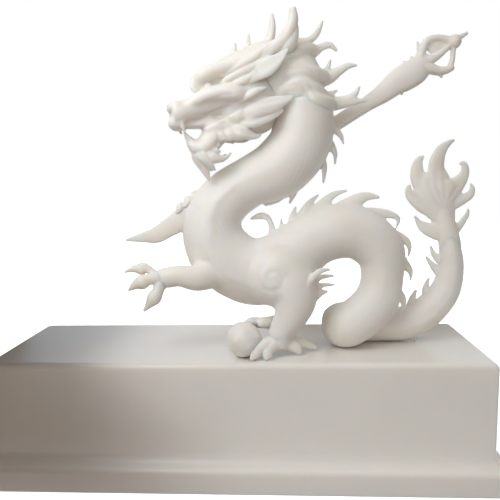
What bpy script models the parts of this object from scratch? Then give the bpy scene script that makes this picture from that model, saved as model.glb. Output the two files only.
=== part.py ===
"""Dragon statue on a stepped plinth: two solids, a plinth and the carved dragon that stands on it.

Metres, +Z up, X to the right of the dragon's left-hand profile, Y away from the viewer.
The origin is the middle of the plinth's underside.
"""
import math

import bmesh
import bpy
import numpy as np
from mathutils import Matrix, Vector

# Plinth, in metres.
PLINTH_LENGTH = 0.402
PLINTH_DEPTH = 0.118
BLOCK_HEIGHT = 0.081
LEDGE_HEIGHT = 0.020
LEDGE_PROUD = 0.0115
BLOCK_EDGE_ROUND = 0.003
LEDGE_EDGE_ROUND = 0.003

# Dragon, in metres.
DRAGON_HEIGHT = 0.280
DRAGON_FORWARD = 0.010
SEAT_GAP = 0.0003

# How the carving is fused into one skin.
SKIN_VOXEL_SHARE = 0.0034
SKIN_SMOOTHING = 2
SKIN_TRIANGLES = 8800

# The dragon's shape is written in shares of its height: a hundred to the whole height,
# x to the right of its own axis, y away from the viewer, z above the plinth's top.
SHARE = DRAGON_HEIGHT / 100
TAIL_REACH = 56.1
PLINTH_TOP = LEDGE_HEIGHT + BLOCK_HEIGHT

# The head has its own frame: along the snout, across it, and up, from the nape.
NAPE = Vector((-0.7, 0.0, 70.4))
HEAD_TURN = math.radians(20)

# The two hands: the near side faces the viewer. The sword lies behind the neck.
NEAR, FAR = -1, 1
SWORD_DEPTH = 10.2

RESIN_COLOUR = (0.86, 0.84, 0.80, 1.0)
RESIN_ROUGHNESS = 0.45


def clear_scene():
    for item in list(bpy.data.objects):
        bpy.data.objects.remove(item, do_unlink=True)


def make_collection(name):
    collection = bpy.data.collections.new(name)
    bpy.context.scene.collection.children.link(collection)
    return collection


def resin():
    """White cast resin with a matt skin."""
    material = bpy.data.materials.new("white_resin")
    material.use_nodes = True
    shader = material.node_tree.nodes["Principled BSDF"]
    shader.inputs["Base Color"].default_value = RESIN_COLOUR
    shader.inputs["Roughness"].default_value = RESIN_ROUGHNESS
    shader.inputs["Metallic"].default_value = 0.0
    return material


def add_object(name, bm, collection, material=None, location=(0, 0, 0)):
    mesh = bpy.data.meshes.new(name)
    bm.to_mesh(mesh)
    bm.free()
    item = bpy.data.objects.new(name, mesh)
    item.location = location
    if material:
        mesh.materials.append(material)
    collection.objects.link(item)
    return item


def curve_through(rows, steps):
    """A smooth curve through rows of numbers: place and half widths together."""
    rows = np.array(rows, float)
    run = np.vstack([2 * rows[0] - rows[1], rows, 2 * rows[-1] - rows[-2]])
    curve = []
    for a, b, c, d in zip(run, run[1:], run[2:], run[3:]):
        for step in range(steps):
            t = step / steps
            curve.append(0.5 * (2 * b + (c - a) * t + (2 * a - 5 * b + 4 * c - d) * t ** 2
                                + (3 * b - a - 3 * c + d) * t ** 3))
    curve.append(rows[-1])
    return curve


def add_loft(bm, rows, sides=10, steps=4, flat=1.0, across=(0, 1, 0)):
    """A closed limb or lock through rows of (x, y, z, half width).

    Its sections are ovals, flat times as thick along across as they are wide, and their
    widths differ from row to row, so it is lofted by hand.
    """
    stations = curve_through(rows, steps)
    places = [Vector(row[:3]) for row in stations]
    side = Vector(across)
    rings = []
    for index, row in enumerate(stations):
        after = places[min(index + 1, len(places) - 1)]
        before = places[max(index - 1, 0)]
        tangent = (after - before).normalized()
        side = (side - tangent * side.dot(tangent)).normalized()
        wide = tangent.cross(side) * row[3]
        thick = side * row[3] * flat
        ring = []
        for corner in range(sides):
            angle = 2 * math.pi * corner / sides
            spot = places[index] + wide * math.cos(angle) + thick * math.sin(angle)
            ring.append(bm.verts.new(spot * SHARE))
        rings.append(ring)
    faces = []
    for lower, upper in zip(rings, rings[1:]):
        for corner in range(sides):
            other = (corner + 1) % sides
            faces.append(bm.faces.new((lower[corner], lower[other], upper[other], upper[corner])))
    faces.append(bm.faces.new(rings[0]))
    faces.append(bm.faces.new(rings[-1]))
    bmesh.ops.recalc_face_normals(bm, faces=faces)


def add_ellipsoid(bm, centre, radii, turn=0.0):
    matrix = (Matrix.Translation(Vector(centre) * SHARE) @ Matrix.Rotation(turn, 4, "Z")
              @ Matrix.Diagonal((*(radius * SHARE for radius in radii), 1.0)))
    bmesh.ops.create_uvsphere(bm, u_segments=20, v_segments=12, radius=1.0, matrix=matrix)


def on_head(along, across, up):
    """A place in the head's own frame: along the snout, across it away from the viewer, and up."""
    forward = Vector((-math.cos(HEAD_TURN), -math.sin(HEAD_TURN), 0))
    away = Vector((-math.sin(HEAD_TURN), math.cos(HEAD_TURN), 0))
    return NAPE + forward * along + away * across + Vector((0, 0, up))


def add_head_loft(bm, rows, flat=1.0, **options):
    """A loft whose rows are (along, across, up, half width) in the head's frame."""
    across = on_head(0, 1, 0) - on_head(0, 0, 0)
    placed = [(*on_head(*row[:3]), row[3]) for row in rows]
    add_loft(bm, placed, flat=flat, across=across, **options)


def add_head_pair(bm, rows, flat=1.0, **options):
    for hand in (NEAR, FAR):
        mirrored = [(row[0], row[1] * hand, row[2], row[3]) for row in rows]
        add_head_loft(bm, mirrored, flat=flat, **options)


def add_head_ellipsoid(bm, centre, radii):
    add_ellipsoid(bm, on_head(*centre), radii, turn=HEAD_TURN)


def carve_body(bm):
    """Neck, chest, belly, back, coil and tail in one run from nape to tail tip."""
    spine = [
        (3.4, 0.0, 73.0, 8.0),
        (4.4, 0.0, 67.2, 8.7),
        (3.9, 0.0, 61.8, 8.6),
        (1.2, 0.0, 57.2, 8.9),
        (-3.6, 0.0, 53.2, 8.5),
        (-11.2, 0.0, 50.0, 7.2),
        (-17.2, 0.0, 46.4, 7.5),
        (-21.6, 0.0, 41.6, 8.1),
        (-23.0, 0.0, 36.4, 8.9),
        (-22.2, 0.0, 31.6, 9.4),
        (-19.4, 0.0, 27.4, 9.8),
        (-15.2, 0.0, 24.2, 9.9),
        (-9.6, 0.0, 22.6, 10.0),
        (-3.0, 0.0, 24.8, 9.7),
        (4.2, 0.0, 30.2, 8.5),
        (9.0, 0.0, 33.0, 7.8),
        (15.2, 0.0, 34.8, 8.0),
        (21.4, -0.1, 33.7, 7.6),
        (26.8, -0.4, 28.6, 7.1),
        (28.0, -1.0, 21.5, 6.6),
        (25.8, -1.8, 14.6, 6.3),
        (21.4, -2.4, 9.8, 6.5),
        (16.8, -2.0, 6.9, 6.7),
        (15.9, 1.4, 6.4, 6.4),
        (20.4, 4.4, 5.8, 5.9),
        (27.8, 4.9, 5.2, 5.4),
        (34.6, 4.4, 5.3, 4.9),
        (41.4, 4.0, 8.4, 4.8),
        (47.2, 3.6, 15.2, 4.2),
        (49.2, 3.2, 22.6, 3.6),
        (48.8, 3.0, 30.6, 2.9),
        (48.2, 3.0, 37.0, 2.7),
    ]
    add_loft(bm, spine, sides=24, steps=4)
    chest_keel = [(-23.6, 0.0, 41.0, 7.4), (-24.6, 0.0, 35.0, 7.4), (-22.6, 0.0, 28.0, 8.0)]
    add_loft(bm, chest_keel, sides=16)
    add_ellipsoid(bm, (-4.6, 0.0, 21.4), (8.0, 8.4, 9.6))
    strut = [(38.8, 3.6, -0.5, 0.5), (38.8, 3.8, 3.5, 0.6)]
    add_loft(bm, strut, sides=8)


def carve_spikes(bm):
    """The saw of hooked spikes down the neck, over the back and up the tail."""
    neck = [
        [(10.5, 0.5, 65.0, 2.2), (14.4, 0.5, 63.2, 1.3), (17.0, 0.5, 59.8, 0.4)],
        [(9.5, 0.5, 61.3, 2.4), (13.7, 0.5, 58.4, 1.5), (13.9, 0.5, 54.2, 0.4)],
        [(7.5, 0.5, 56.8, 2.6), (10.9, 0.5, 53.6, 1.5), (10.4, 0.5, 48.4, 0.4)],
        [(2.6, 0.5, 51.8, 2.2), (2.5, 0.5, 47.4, 1.2), (0.2, 0.5, 43.6, 0.4)],
        [(-2.0, 0.5, 48.0, 2.2), (-4.2, 0.5, 44.9, 1.4), (-7.4, 0.5, 43.2, 0.4)],
    ]
    back = [
        [(-1.0, 0.0, 34.5, 1.6), (-1.3, 0.0, 37.0, 0.9), (-1.9, 0.0, 39.4, 0.4)],
        [(1.4, 0.0, 36.5, 2.0), (1.5, 0.0, 39.8, 1.1), (2.5, 0.0, 43.2, 0.4)],
        [(4.5, 0.0, 37.5, 2.5), (5.9, 0.0, 42.4, 1.6), (9.4, 0.0, 46.2, 0.4)],
        [(8.6, 0.0, 39.4, 2.9), (12.0, 0.0, 44.2, 1.8), (17.5, 0.0, 46.7, 0.45)],
        [(16.0, 0.0, 40.0, 3.3), (20.6, 0.0, 43.5, 2.2), (26.8, 0.0, 45.1, 0.6)],
        [(24.0, 0.0, 37.5, 3.0), (29.6, 0.0, 38.8, 1.8), (32.2, 0.0, 37.8, 1.0), (31.0, 0.0, 35.0, 0.5)],
        [(30.0, 0.0, 34.2, 2.4), (34.2, 0.0, 31.6, 1.5), (35.6, 0.0, 29.0, 1.0), (35.1, 0.0, 26.4, 0.5)],
        [(31.0, -0.4, 27.5, 2.6), (34.6, -0.4, 24.4, 1.6), (35.7, -0.4, 19.8, 0.4)],
        [(30.6, -0.8, 18.5, 2.4), (33.0, -0.8, 15.4, 1.5), (33.8, -0.8, 11.4, 0.5)],
    ]
    tail = [
        [(37.6, 4.0, 9.0, 2.4), (37.8, 4.0, 13.0, 1.2), (39.0, 4.0, 16.2, 0.4)],
        [(43.4, 4.0, 12.5, 2.4), (41.8, 4.0, 16.2, 1.2), (42.7, 4.0, 19.8, 0.4)],
        [(47.2, 3.5, 20.0, 2.0), (43.8, 3.5, 23.4, 1.1), (41.4, 3.5, 26.5, 0.4)],
        [(47.4, 3.3, 24.4, 1.8), (44.0, 3.3, 26.8, 1.0), (42.7, 3.3, 29.8, 0.4)],
    ]
    for spike in neck + back + tail:
        add_loft(bm, spike, sides=8, flat=0.55)
    back_curl = [
        (-3.8, 0.0, 30.5, 1.8),
        (-4.0, 0.0, 35.9, 1.5),
        (-6.1, 0.0, 38.5, 1.3),
        (-9.0, 0.0, 39.7, 1.1),
        (-12.3, 0.0, 39.0, 0.5),
    ]
    add_loft(bm, back_curl, sides=8, flat=0.7)


def carve_tuft(bm):
    """The flame at the tail's tip: locks fanned out from one root."""
    locks = [
        [
            (49.2, 3.0, 30.0, 2.4),
            (44.8, 3.6, 32.8, 1.8),
            (40.6, 4.0, 35.2, 1.5),
            (37.0, 4.2, 39.2, 0.45),
        ],
        [
            (48.8, 3.0, 34.0, 2.6),
            (41.8, 2.4, 39.6, 2.4),
            (36.6, 1.8, 44.2, 1.8),
            (35.2, 1.4, 48.8, 0.45),
        ],
        [(48.2, 3.0, 37.0, 2.8), (41.6, 3.4, 45.0, 2.8), (38.2, 4.0, 50.6, 2.2), (40.2, 4.4, 57.4, 0.6)],
        [(47.6, 3.0, 38.0, 3.2), (44.6, 2.6, 47.4, 3.4), (43.2, 2.2, 54.9, 2.4), (49.0, 1.8, 61.4, 0.6)],
        [(48.6, 3.0, 37.0, 3.0), (50.0, 3.4, 45.0, 2.7), (52.2, 3.8, 51.0, 1.7), (50.6, 4.0, 54.8, 0.7)],
        [
            (49.0, 3.0, 34.0, 2.4),
            (50.4, 2.6, 40.8, 1.7),
            (53.6, 2.2, 44.6, 1.3),
            (53.7, 2.0, 48.4, 0.45),
        ],
        [(49.6, 3.0, 29.0, 2.0), (51.8, 3.3, 33.6, 1.5), (53.0, 3.6, 38.0, 0.8)],
    ]
    for lock in locks:
        add_loft(bm, lock, sides=10, flat=0.6)
    palm = [(48.4, 3.0, 34.0, 3.2), (46.0, 3.0, 41.0, 5.0), (45.2, 3.0, 46.5, 3.6)]
    add_loft(bm, palm, sides=12, flat=0.36)


def carve_forelegs(bm):
    """The near foreleg reaches out over the plinth, the far one grips the sword."""
    near_arm = [
        (-16.5, -5.0, 28.5, 5.8),
        (-21.0, -7.6, 24.8, 5.0),
        (-26.4, -9.2, 22.6, 3.7),
        (-31.4, -9.8, 23.6, 2.75),
        (-36.0, -10.0, 22.9, 3.1),
        (-38.8, -10.0, 23.2, 2.5),
    ]
    add_loft(bm, near_arm, sides=14)
    near_toes = [
        [
            (-37.0, -8.8, 24.0, 1.8),
            (-41.4, -8.0, 25.4, 1.7),
            (-44.2, -7.8, 26.2, 1.3),
            (-47.8, -8.0, 24.6, 0.4),
        ],
        [
            (-37.0, -10.8, 22.8, 2.0),
            (-41.0, -12.0, 22.2, 1.9),
            (-44.2, -12.2, 21.3, 1.3),
            (-46.4, -12.0, 19.4, 0.4),
        ],
        [
            (-35.8, -10.8, 22.0, 2.0),
            (-37.9, -12.0, 18.8, 1.8),
            (-39.4, -12.2, 16.2, 1.5),
            (-42.3, -12.0, 13.0, 0.4),
        ],
        [(-36.0, -8.2, 22.2, 1.7), (-37.6, -6.4, 19.8, 1.3), (-39.6, -6.0, 17.6, 0.4)],
    ]
    far_arm = [
        (-16.5, 5.0, 29.5, 5.6),
        (-21.0, 8.6, 27.0, 4.6),
        (-24.8, 12.0, 28.0, 3.5),
        (-27.4, 13.2, 33.0, 2.8),
        (-30.6, 13.2, 37.6, 2.8),
        (-31.8, 12.6, 40.0, 2.5),
    ]
    add_loft(bm, far_arm, sides=14)
    grip = [
        [
            (-30.4, 13.0, 41.4, 1.7),
            (-29.8, 11.6, 45.0, 1.3),
            (-30.2, 9.0, 45.4, 1.1),
            (-31.4, 8.0, 42.6, 0.4),
        ],
        [
            (-32.0, 13.0, 40.8, 1.7),
            (-32.4, 11.6, 43.6, 1.3),
            (-33.0, 9.0, 43.6, 1.1),
            (-34.2, 8.0, 41.0, 0.4),
        ],
        [
            (-33.6, 13.0, 39.6, 1.7),
            (-34.8, 11.8, 41.8, 1.3),
            (-35.6, 9.2, 41.6, 1.0),
            (-36.6, 8.2, 39.2, 0.4),
        ],
        [(-31.0, 12.6, 37.6, 1.6), (-33.2, 10.4, 34.6, 1.2), (-34.6, 8.6, 35.8, 0.4)],
    ]
    for toe in near_toes + grip:
        add_loft(bm, toe, sides=8)


def carve_hind_legs(bm):
    """The near leg stands on the plinth, the far foot rests on a ball."""
    near_leg = [
        (-1.0, -4.5, 25.0, 8.0),
        (0.4, -7.6, 21.0, 7.4),
        (2.4, -9.0, 16.4, 6.0),
        (0.8, -9.3, 11.6, 4.6),
        (-1.8, -9.2, 7.6, 3.7),
        (-2.4, -9.2, 3.4, 3.2),
    ]
    far_leg = [
        (-1.0, 4.6, 25.0, 7.8),
        (1.8, 7.6, 20.6, 6.6),
        (3.4, 8.0, 15.0, 5.0),
        (2.6, 6.0, 10.8, 3.9),
        (-0.6, 1.6, 8.9, 3.0),
    ]
    for leg in (near_leg, far_leg):
        add_loft(bm, leg, sides=16)
    add_ellipsoid(bm, (-2.6, -5.2, 23.0), (8.8, 6.6, 8.0))
    add_ellipsoid(bm, (-1.6, 5.2, 23.0), (8.0, 6.4, 7.6))
    near_toes = [
        [
            (-3.0, -9.2, 3.6, 2.3),
            (-5.2, -11.4, 3.0, 1.9),
            (-6.4, -12.8, 1.9, 1.3),
            (-6.9, -14.0, 0.4, 0.5),
        ],
        [
            (-4.0, -9.6, 3.8, 2.2),
            (-7.2, -12.2, 3.6, 1.8),
            (-9.4, -13.9, 2.4, 1.3),
            (-10.9, -15.0, 0.7, 0.5),
        ],
        [(-1.6, -8.8, 3.2, 2.1), (0.8, -9.4, 2.6, 1.7), (2.2, -9.6, 1.6, 1.2), (2.8, -10.0, 0.5, 0.5)],
        [(-1.0, -8.2, 4.2, 1.9), (4.0, -6.6, 3.2, 1.7), (8.8, -5.4, 1.4, 0.8)],
    ]
    far_toes = [
        [
            (-1.0, 0.8, 8.8, 2.6),
            (-5.6, -4.2, 8.9, 2.1),
            (-8.8, -7.8, 9.0, 1.5),
            (-13.4, -10.8, 10.2, 0.5),
        ],
        [
            (-4.0, -2.8, 8.6, 2.1),
            (-7.6, -8.6, 8.8, 1.5),
            (-9.8, -12.0, 8.6, 1.0),
            (-11.0, -14.4, 7.2, 0.5),
        ],
        [
            (-4.0, -2.4, 8.6, 2.1),
            (-9.0, -5.2, 8.6, 1.5),
            (-12.2, -6.4, 8.6, 1.0),
            (-15.6, -7.6, 8.2, 0.5),
        ],
    ]
    for toe in near_toes + far_toes:
        add_loft(bm, toe, sides=8)
    add_ellipsoid(bm, (-13.0, -10.5, 4.95), (5.05, 5.05, 5.05))
    hair_tips = [(12.4, 24.6, 1.6), (13.4, 22.4, 0.6), (12.8, 19.6, -0.4)]
    for hand, back_by in ((NEAR, 0.0), (FAR, 3.0)):
        for tip_x, tip_z, lift in hair_tips:
            hair = [
                (4.8 - back_by, 7.6 * hand, 18.6 + lift, 2.0),
                (9.0 - back_by, 8.4 * hand, 20.0 + 2.0 * lift, 1.4),
                (tip_x - back_by, 8.4 * hand, tip_z, 0.35),
            ]
            add_loft(bm, hair, sides=8, flat=0.8)
        hock = [
            (2.0 - back_by, 8.6 * hand, 15.8, 3.0),
            (6.4 - back_by, 8.6 * hand, 17.4, 1.7),
            (11.0 - back_by, 8.4 * hand, 17.6, 0.5),
        ]
        add_loft(bm, hock, sides=10, flat=0.8)


def carve_skull(bm):
    """Skull, muzzle, brows, eyes, jaw and tongue."""
    add_head_ellipsoid(bm, (12.0, 0.0, 4.2), (11.0, 7.8, 7.9))
    add_head_ellipsoid(bm, (20.5, 0.0, 7.4), (4.6, 4.8, 3.6))
    add_head_ellipsoid(bm, (13.6, 0.0, -2.6), (6.4, 6.6, 4.4))
    add_head_ellipsoid(bm, (8.4, 0.0, -1.6), (5.6, 5.8, 5.4))
    muzzle = [
        (17.0, 0.0, 1.0, 5.2),
        (22.4, 0.0, -0.6, 3.9),
        (27.4, 0.0, -1.6, 3.3),
        (31.2, 0.0, -2.1, 3.5),
        (33.4, 0.0, -2.1, 2.8),
    ]
    add_head_loft(bm, muzzle, flat=1.3, sides=16)
    add_head_ellipsoid(bm, (32.3, 0.0, 0.0), (2.0, 3.6, 1.8))
    add_head_ellipsoid(bm, (31.8, 0.0, -4.4), (1.8, 3.2, 1.8))
    for hand in (NEAR, FAR):
        add_head_ellipsoid(bm, (31.6, 2.8 * hand, 0.2), (1.5, 1.3, 1.3))
        add_head_ellipsoid(bm, (24.4, 4.6 * hand, 5.0), (2.1, 1.9, 2.1))
    brow = [
        (25.7, 3.4, 5.9, 1.6),
        (23.9, 4.6, 7.8, 2.0),
        (19.6, 5.4, 9.6, 1.9),
        (14.0, 5.8, 10.8, 1.7),
        (9.4, 6.4, 12.4, 0.5),
    ]
    add_head_pair(bm, brow, sides=10)
    jaw = [
        (12.5, 0.0, -4.8, 3.0),
        (18.4, 0.0, -7.2, 2.4),
        (23.0, 0.0, -10.4, 2.5),
        (25.8, 0.0, -11.2, 2.4),
        (27.6, 0.0, -9.0, 1.6),
        (28.8, 0.0, -6.4, 0.7),
    ]
    add_head_loft(bm, jaw, flat=1.35, sides=14)
    tongue = [(18.0, 0.0, -4.4, 2.0), (22.0, 0.0, -6.4, 1.5), (25.0, 0.0, -8.4, 0.9)]
    add_head_loft(bm, tongue, flat=1.6, sides=10)
    upper_fang = [(30.6, 2.7, -4.0, 0.9), (30.5, 2.8, -5.6, 0.6), (30.0, 2.8, -6.9, 0.35)]
    add_head_pair(bm, upper_fang, sides=6)


def carve_horns_and_ears(bm):
    for hand, tip_up, tip_along in ((NEAR, 25.6, 0.4), (FAR, 29.2, 0.2)):
        horn = [
            (19.0, 3.6 * hand, 8.2, 1.9),
            (11.0, 5.2 * hand, 11.4, 2.4),
            (3.8, 6.8 * hand, 16.0, 2.5),
            (0.6 + tip_along / 2, 8.0 * hand, 0.8 * tip_up, 1.8),
            (tip_along, 8.8 * hand, tip_up, 0.9),
        ]
        add_head_loft(bm, horn, sides=12)
    ear = [(14.0, 6.8, 6.6, 2.0), (9.2, 8.8, 9.2, 2.6), (2.2, 10.0, 14.4, 0.4)]
    add_head_pair(bm, ear, flat=0.45, sides=10)
    ear_lobe = [(14.0, 6.8, 3.6, 1.4), (9.6, 8.2, 2.6, 0.9)]
    add_head_pair(bm, ear_lobe, sides=8)
    crest = [
        [(16.2, 0.0, 10.0, 1.6), (15.0, 0.0, 14.4, 0.9), (14.4, 0.0, 17.9, 0.4)],
        [(12.2, 0.0, 10.4, 2.0), (11.0, 0.0, 15.4, 1.0), (10.3, 0.0, 20.3, 0.4)],
    ]
    for spike in crest:
        add_head_loft(bm, spike, flat=0.6, sides=8)
    cheek_locks = [
        [(12.0, 6.4, -1.4, 2.8), (6.4, 8.2, 0.4, 2.0), (1.1, 9.4, 2.1, 0.4)],
        [(12.4, 6.2, -4.0, 2.2), (8.2, 7.4, -3.0, 1.6), (4.0, 8.2, -0.6, 0.4)],
        [(14.4, 5.0, -6.2, 1.7), (11.2, 5.2, -8.0, 1.1), (7.8, 5.2, -7.3, 0.4)],
        [(18.6, 4.2, -7.0, 1.4), (17.2, 4.4, -8.6, 0.9), (15.2, 4.4, -9.2, 0.4)],
    ]
    for lock in cheek_locks:
        add_head_pair(bm, lock, flat=0.6, sides=8)


def carve_beard(bm):
    chin = [(26.0, 0.0, -11.6, 2.3), (24.4, 0.0, -15.2, 1.7), (23.6, 0.0, -19.9, 0.5)]
    add_head_loft(bm, chin, flat=0.8, sides=8)
    side_locks = [
        [(24.8, 1.6, -11.8, 2.0), (23.0, 1.9, -14.8, 1.6), (21.1, 1.7, -17.6, 0.4)],
        [(22.8, 2.4, -11.8, 1.8), (19.8, 2.9, -13.8, 1.2), (16.4, 2.9, -13.6, 0.4)],
    ]
    for lock in side_locks:
        add_head_pair(bm, lock, flat=0.7, sides=8)


def carve_mane(bm):
    """Locks swept back from the nape."""
    add_ellipsoid(bm, (2.6, 0.0, 78.2), (8.4, 7.8, 9.6))
    crown_locks = [
        [(0.6, 0.0, 84.0, 3.2), (4.6, 0.0, 88.2, 2.1), (8.2, 0.0, 90.6, 1.3), (10.8, 0.0, 95.2, 0.4)],
        [
            (2.0, -0.8, 81.4, 3.6),
            (7.2, -0.8, 85.6, 2.4),
            (11.2, -0.8, 87.8, 1.4),
            (15.0, -0.8, 86.6, 0.6),
        ],
        [(6.0, 0.6, 80.0, 2.0), (11.0, 0.6, 81.2, 1.1), (12.9, 0.6, 84.8, 0.4)],
        [(3.0, 0.8, 76.8, 3.5), (9.8, 0.8, 78.5, 2.8), (15.2, 0.8, 81.2, 1.6), (20.6, 0.8, 82.8, 0.4)],
        [(7.0, -0.6, 75.6, 2.0), (12.2, -0.6, 74.6, 1.1), (14.6, -0.6, 76.6, 0.4)],
        [(4.0, 0.0, 71.3, 3.4), (11.0, 0.0, 71.4, 2.4), (16.6, 0.0, 72.6, 1.7), (21.0, 0.0, 77.0, 0.4)],
        [(13.6, 0.0, 71.6, 1.7), (18.6, 0.0, 71.7, 1.0), (23.4, 0.0, 71.2, 0.4)],
    ]
    for lock in crown_locks:
        add_loft(bm, lock, sides=10, flat=0.7)
    side_locks = [
        [(-7.0, 6.6, 83.5, 2.0), (-1.0, 7.6, 85.0, 2.2), (4.8, 5.8, 87.6, 0.4)],
        [(-6.0, 7.6, 79.0, 2.2), (1.0, 8.6, 80.4, 2.4), (8.2, 5.8, 82.8, 0.4)],
        [(-5.0, 7.8, 74.2, 2.2), (2.0, 9.0, 74.8, 2.4), (10.8, 6.0, 76.6, 0.4)],
        [(-2.0, 7.8, 69.0, 2.0), (5.0, 8.8, 68.8, 2.2), (12.4, 6.2, 70.0, 0.4)],
    ]
    for hand in (NEAR, FAR):
        for lock in side_locks:
            placed = [(x, y * hand, z, half) for x, y, z, half in lock]
            add_loft(bm, placed, sides=10, flat=0.6)


def carve_sword(bm):
    """A broad blade and a long grip behind the neck, with a caged pommel."""
    depth = SWORD_DEPTH
    blade = [
        (6.0, depth, 61.5, 3.0),
        (-8.0, depth, 54.4, 3.6),
        (-20.0, depth, 48.2, 3.8),
        (-29.0, depth, 41.8, 3.7),
        (-34.4, depth, 38.2, 3.5),
        (-38.4, depth, 35.8, 3.0),
        (-42.6, depth, 33.6, 2.7),
        (-47.0, depth, 32.9, 1.7),
        (-52.8, depth, 32.0, 0.45),
    ]
    add_loft(bm, blade, sides=8, flat=0.34)
    guard = [(4.0, depth, 66.8, 1.2), (6.6, depth, 62.4, 1.6), (9.0, depth, 58.0, 1.2)]
    add_loft(bm, guard, sides=8)
    grip = [
        (4.0, depth, 60.6, 2.3),
        (15.0, depth, 67.2, 2.3),
        (24.0, depth, 72.8, 2.4),
        (29.4, depth, 76.0, 2.8),
        (33.4, depth, 78.5, 3.5),
        (36.6, depth, 80.5, 4.0),
        (39.6, depth, 82.3, 3.9),
        (42.4, depth, 84.0, 3.6),
        (44.2, depth, 85.2, 3.0),
        (46.2, depth, 87.6, 2.2),
        (49.6, depth, 89.8, 1.6),
    ]
    add_loft(bm, grip, sides=14)
    knob = (50.4, depth, 90.3)
    add_ellipsoid(bm, knob, (1.9, 1.9, 1.9))
    finial = [(50.8, depth, 90.6, 1.0), (52.4, depth, 91.6, 0.8), (54.0, depth, 92.6, 0.4)]
    add_loft(bm, finial, sides=8)
    cage_middle = Vector((45.9, depth, 86.9))
    cage_axis = Vector((0.82, 0.0, 0.57)).normalized()
    outward = Vector((-0.57, 0.0, 0.82)).normalized()
    for prong in range(4):
        out = Matrix.Rotation(math.pi * prong / 2, 3, cage_axis) @ outward
        bow = [
            (*(cage_middle - cage_axis * 5.0 + out * 1.8), 1.5),
            (*(cage_middle - cage_axis * 3.2 + out * 4.4), 1.5),
            (*(cage_middle + cage_axis * 0.6 + out * 5.0), 1.4),
            (*(cage_middle + cage_axis * 3.6 + out * 3.2), 1.3),
            (*(cage_middle + cage_axis * 5.0 + out * 0.8), 1.3),
        ]
        add_loft(bm, bow, sides=8)


def make_plinth(collection, material):
    """A block on a ledge, with softly rounded edges and a flat underside."""
    bm = bmesh.new()
    length = PLINTH_LENGTH + 2 * LEDGE_PROUD
    depth = PLINTH_DEPTH + 2 * LEDGE_PROUD
    matrix = (Matrix.Translation((0, 0, LEDGE_HEIGHT / 2))
              @ Matrix.Diagonal((length, depth, LEDGE_HEIGHT, 1)))
    bmesh.ops.create_cube(bm, size=1.0, matrix=matrix)
    top = max(bm.faces, key=lambda face: face.calc_center_median().z)
    bmesh.ops.inset_individual(bm, faces=[top], thickness=LEDGE_PROUD, use_even_offset=True)
    raised = bmesh.ops.extrude_face_region(bm, geom=[top])["geom"]
    bm.faces.remove(top)
    lifted = [item for item in raised if isinstance(item, bmesh.types.BMVert)]
    bmesh.ops.translate(bm, verts=lifted, vec=(0, 0, BLOCK_HEIGHT))
    bmesh.ops.recalc_face_normals(bm, faces=bm.faces)
    tolerance = 1e-6

    def is_block_edge(edge):
        low = min(vert.co.z for vert in edge.verts)
        high = max(vert.co.z for vert in edge.verts)
        return high > LEDGE_HEIGHT + tolerance and (low > LEDGE_HEIGHT + tolerance or high - low > tolerance)

    def is_ledge_edge(edge):
        low = min(vert.co.z for vert in edge.verts)
        high = max(vert.co.z for vert in edge.verts)
        outer = all(abs(vert.co.x) > PLINTH_LENGTH / 2 + tolerance for vert in edge.verts)
        above_floor = high > tolerance and (low > tolerance or high > low)
        return outer and above_floor and high < LEDGE_HEIGHT + tolerance

    for chosen, radius in ((is_block_edge, BLOCK_EDGE_ROUND), (is_ledge_edge, LEDGE_EDGE_ROUND)):
        edges = [edge for edge in bm.edges if chosen(edge)]
        bmesh.ops.bevel(bm, geom=edges, offset=radius, offset_type="OFFSET", segments=4,
                        profile=0.5, affect="EDGES", clamp_overlap=True)
    return add_object("plinth", bm, collection, material)


def make_dragon(collection, cutters, material):
    """All the carving fused into one skin, thinned, and cut flat where it stands."""
    bm = bmesh.new()
    for carve in (carve_body, carve_spikes, carve_tuft, carve_forelegs, carve_hind_legs, carve_skull,
                  carve_horns_and_ears, carve_beard, carve_mane, carve_sword):
        carve(bm)
    axis_x = PLINTH_LENGTH / 2 - TAIL_REACH * SHARE
    dragon = add_object("dragon", bm, collection, material, location=(axis_x, -DRAGON_FORWARD, PLINTH_TOP))

    skin = dragon.modifiers.new("one skin", "REMESH")
    skin.mode = "VOXEL"
    skin.voxel_size = SKIN_VOXEL_SHARE * DRAGON_HEIGHT
    soften = dragon.modifiers.new("soften", "SMOOTH")
    soften.iterations = SKIN_SMOOTHING
    evaluated = dragon.evaluated_get(bpy.context.evaluated_depsgraph_get())
    full = evaluated.to_mesh()
    full.calc_loop_triangles()
    triangles = len(full.loop_triangles)
    evaluated.to_mesh_clear()
    thin = dragon.modifiers.new("thin", "DECIMATE")
    thin.ratio = min(1.0, SKIN_TRIANGLES / triangles)

    block = bmesh.new()
    reach = 2 * DRAGON_HEIGHT
    depth = DRAGON_HEIGHT / 4
    matrix = (Matrix.Translation((axis_x, 0, PLINTH_TOP + SEAT_GAP - depth / 2))
              @ Matrix.Diagonal((reach, reach, depth, 1)))
    bmesh.ops.create_cube(block, size=1.0, matrix=matrix)
    seat = add_object("seat_cut", block, cutters)
    seat.hide_render = True
    seat.display_type = "WIRE"
    cut = dragon.modifiers.new("flat soles", "BOOLEAN")
    cut.operation = "DIFFERENCE"
    cut.object = seat
    cut.solver = "EXACT"
    return dragon


def main():
    clear_scene()
    parts = make_collection("dragon_statue")
    cutters = make_collection("cutters")
    material = resin()
    make_plinth(parts, material)
    make_dragon(parts, cutters, material)


main()
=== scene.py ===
import math

import bmesh
import bpy
import numpy as np
from mathutils import Matrix, Vector
from mathutils.kdtree import KDTree


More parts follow.
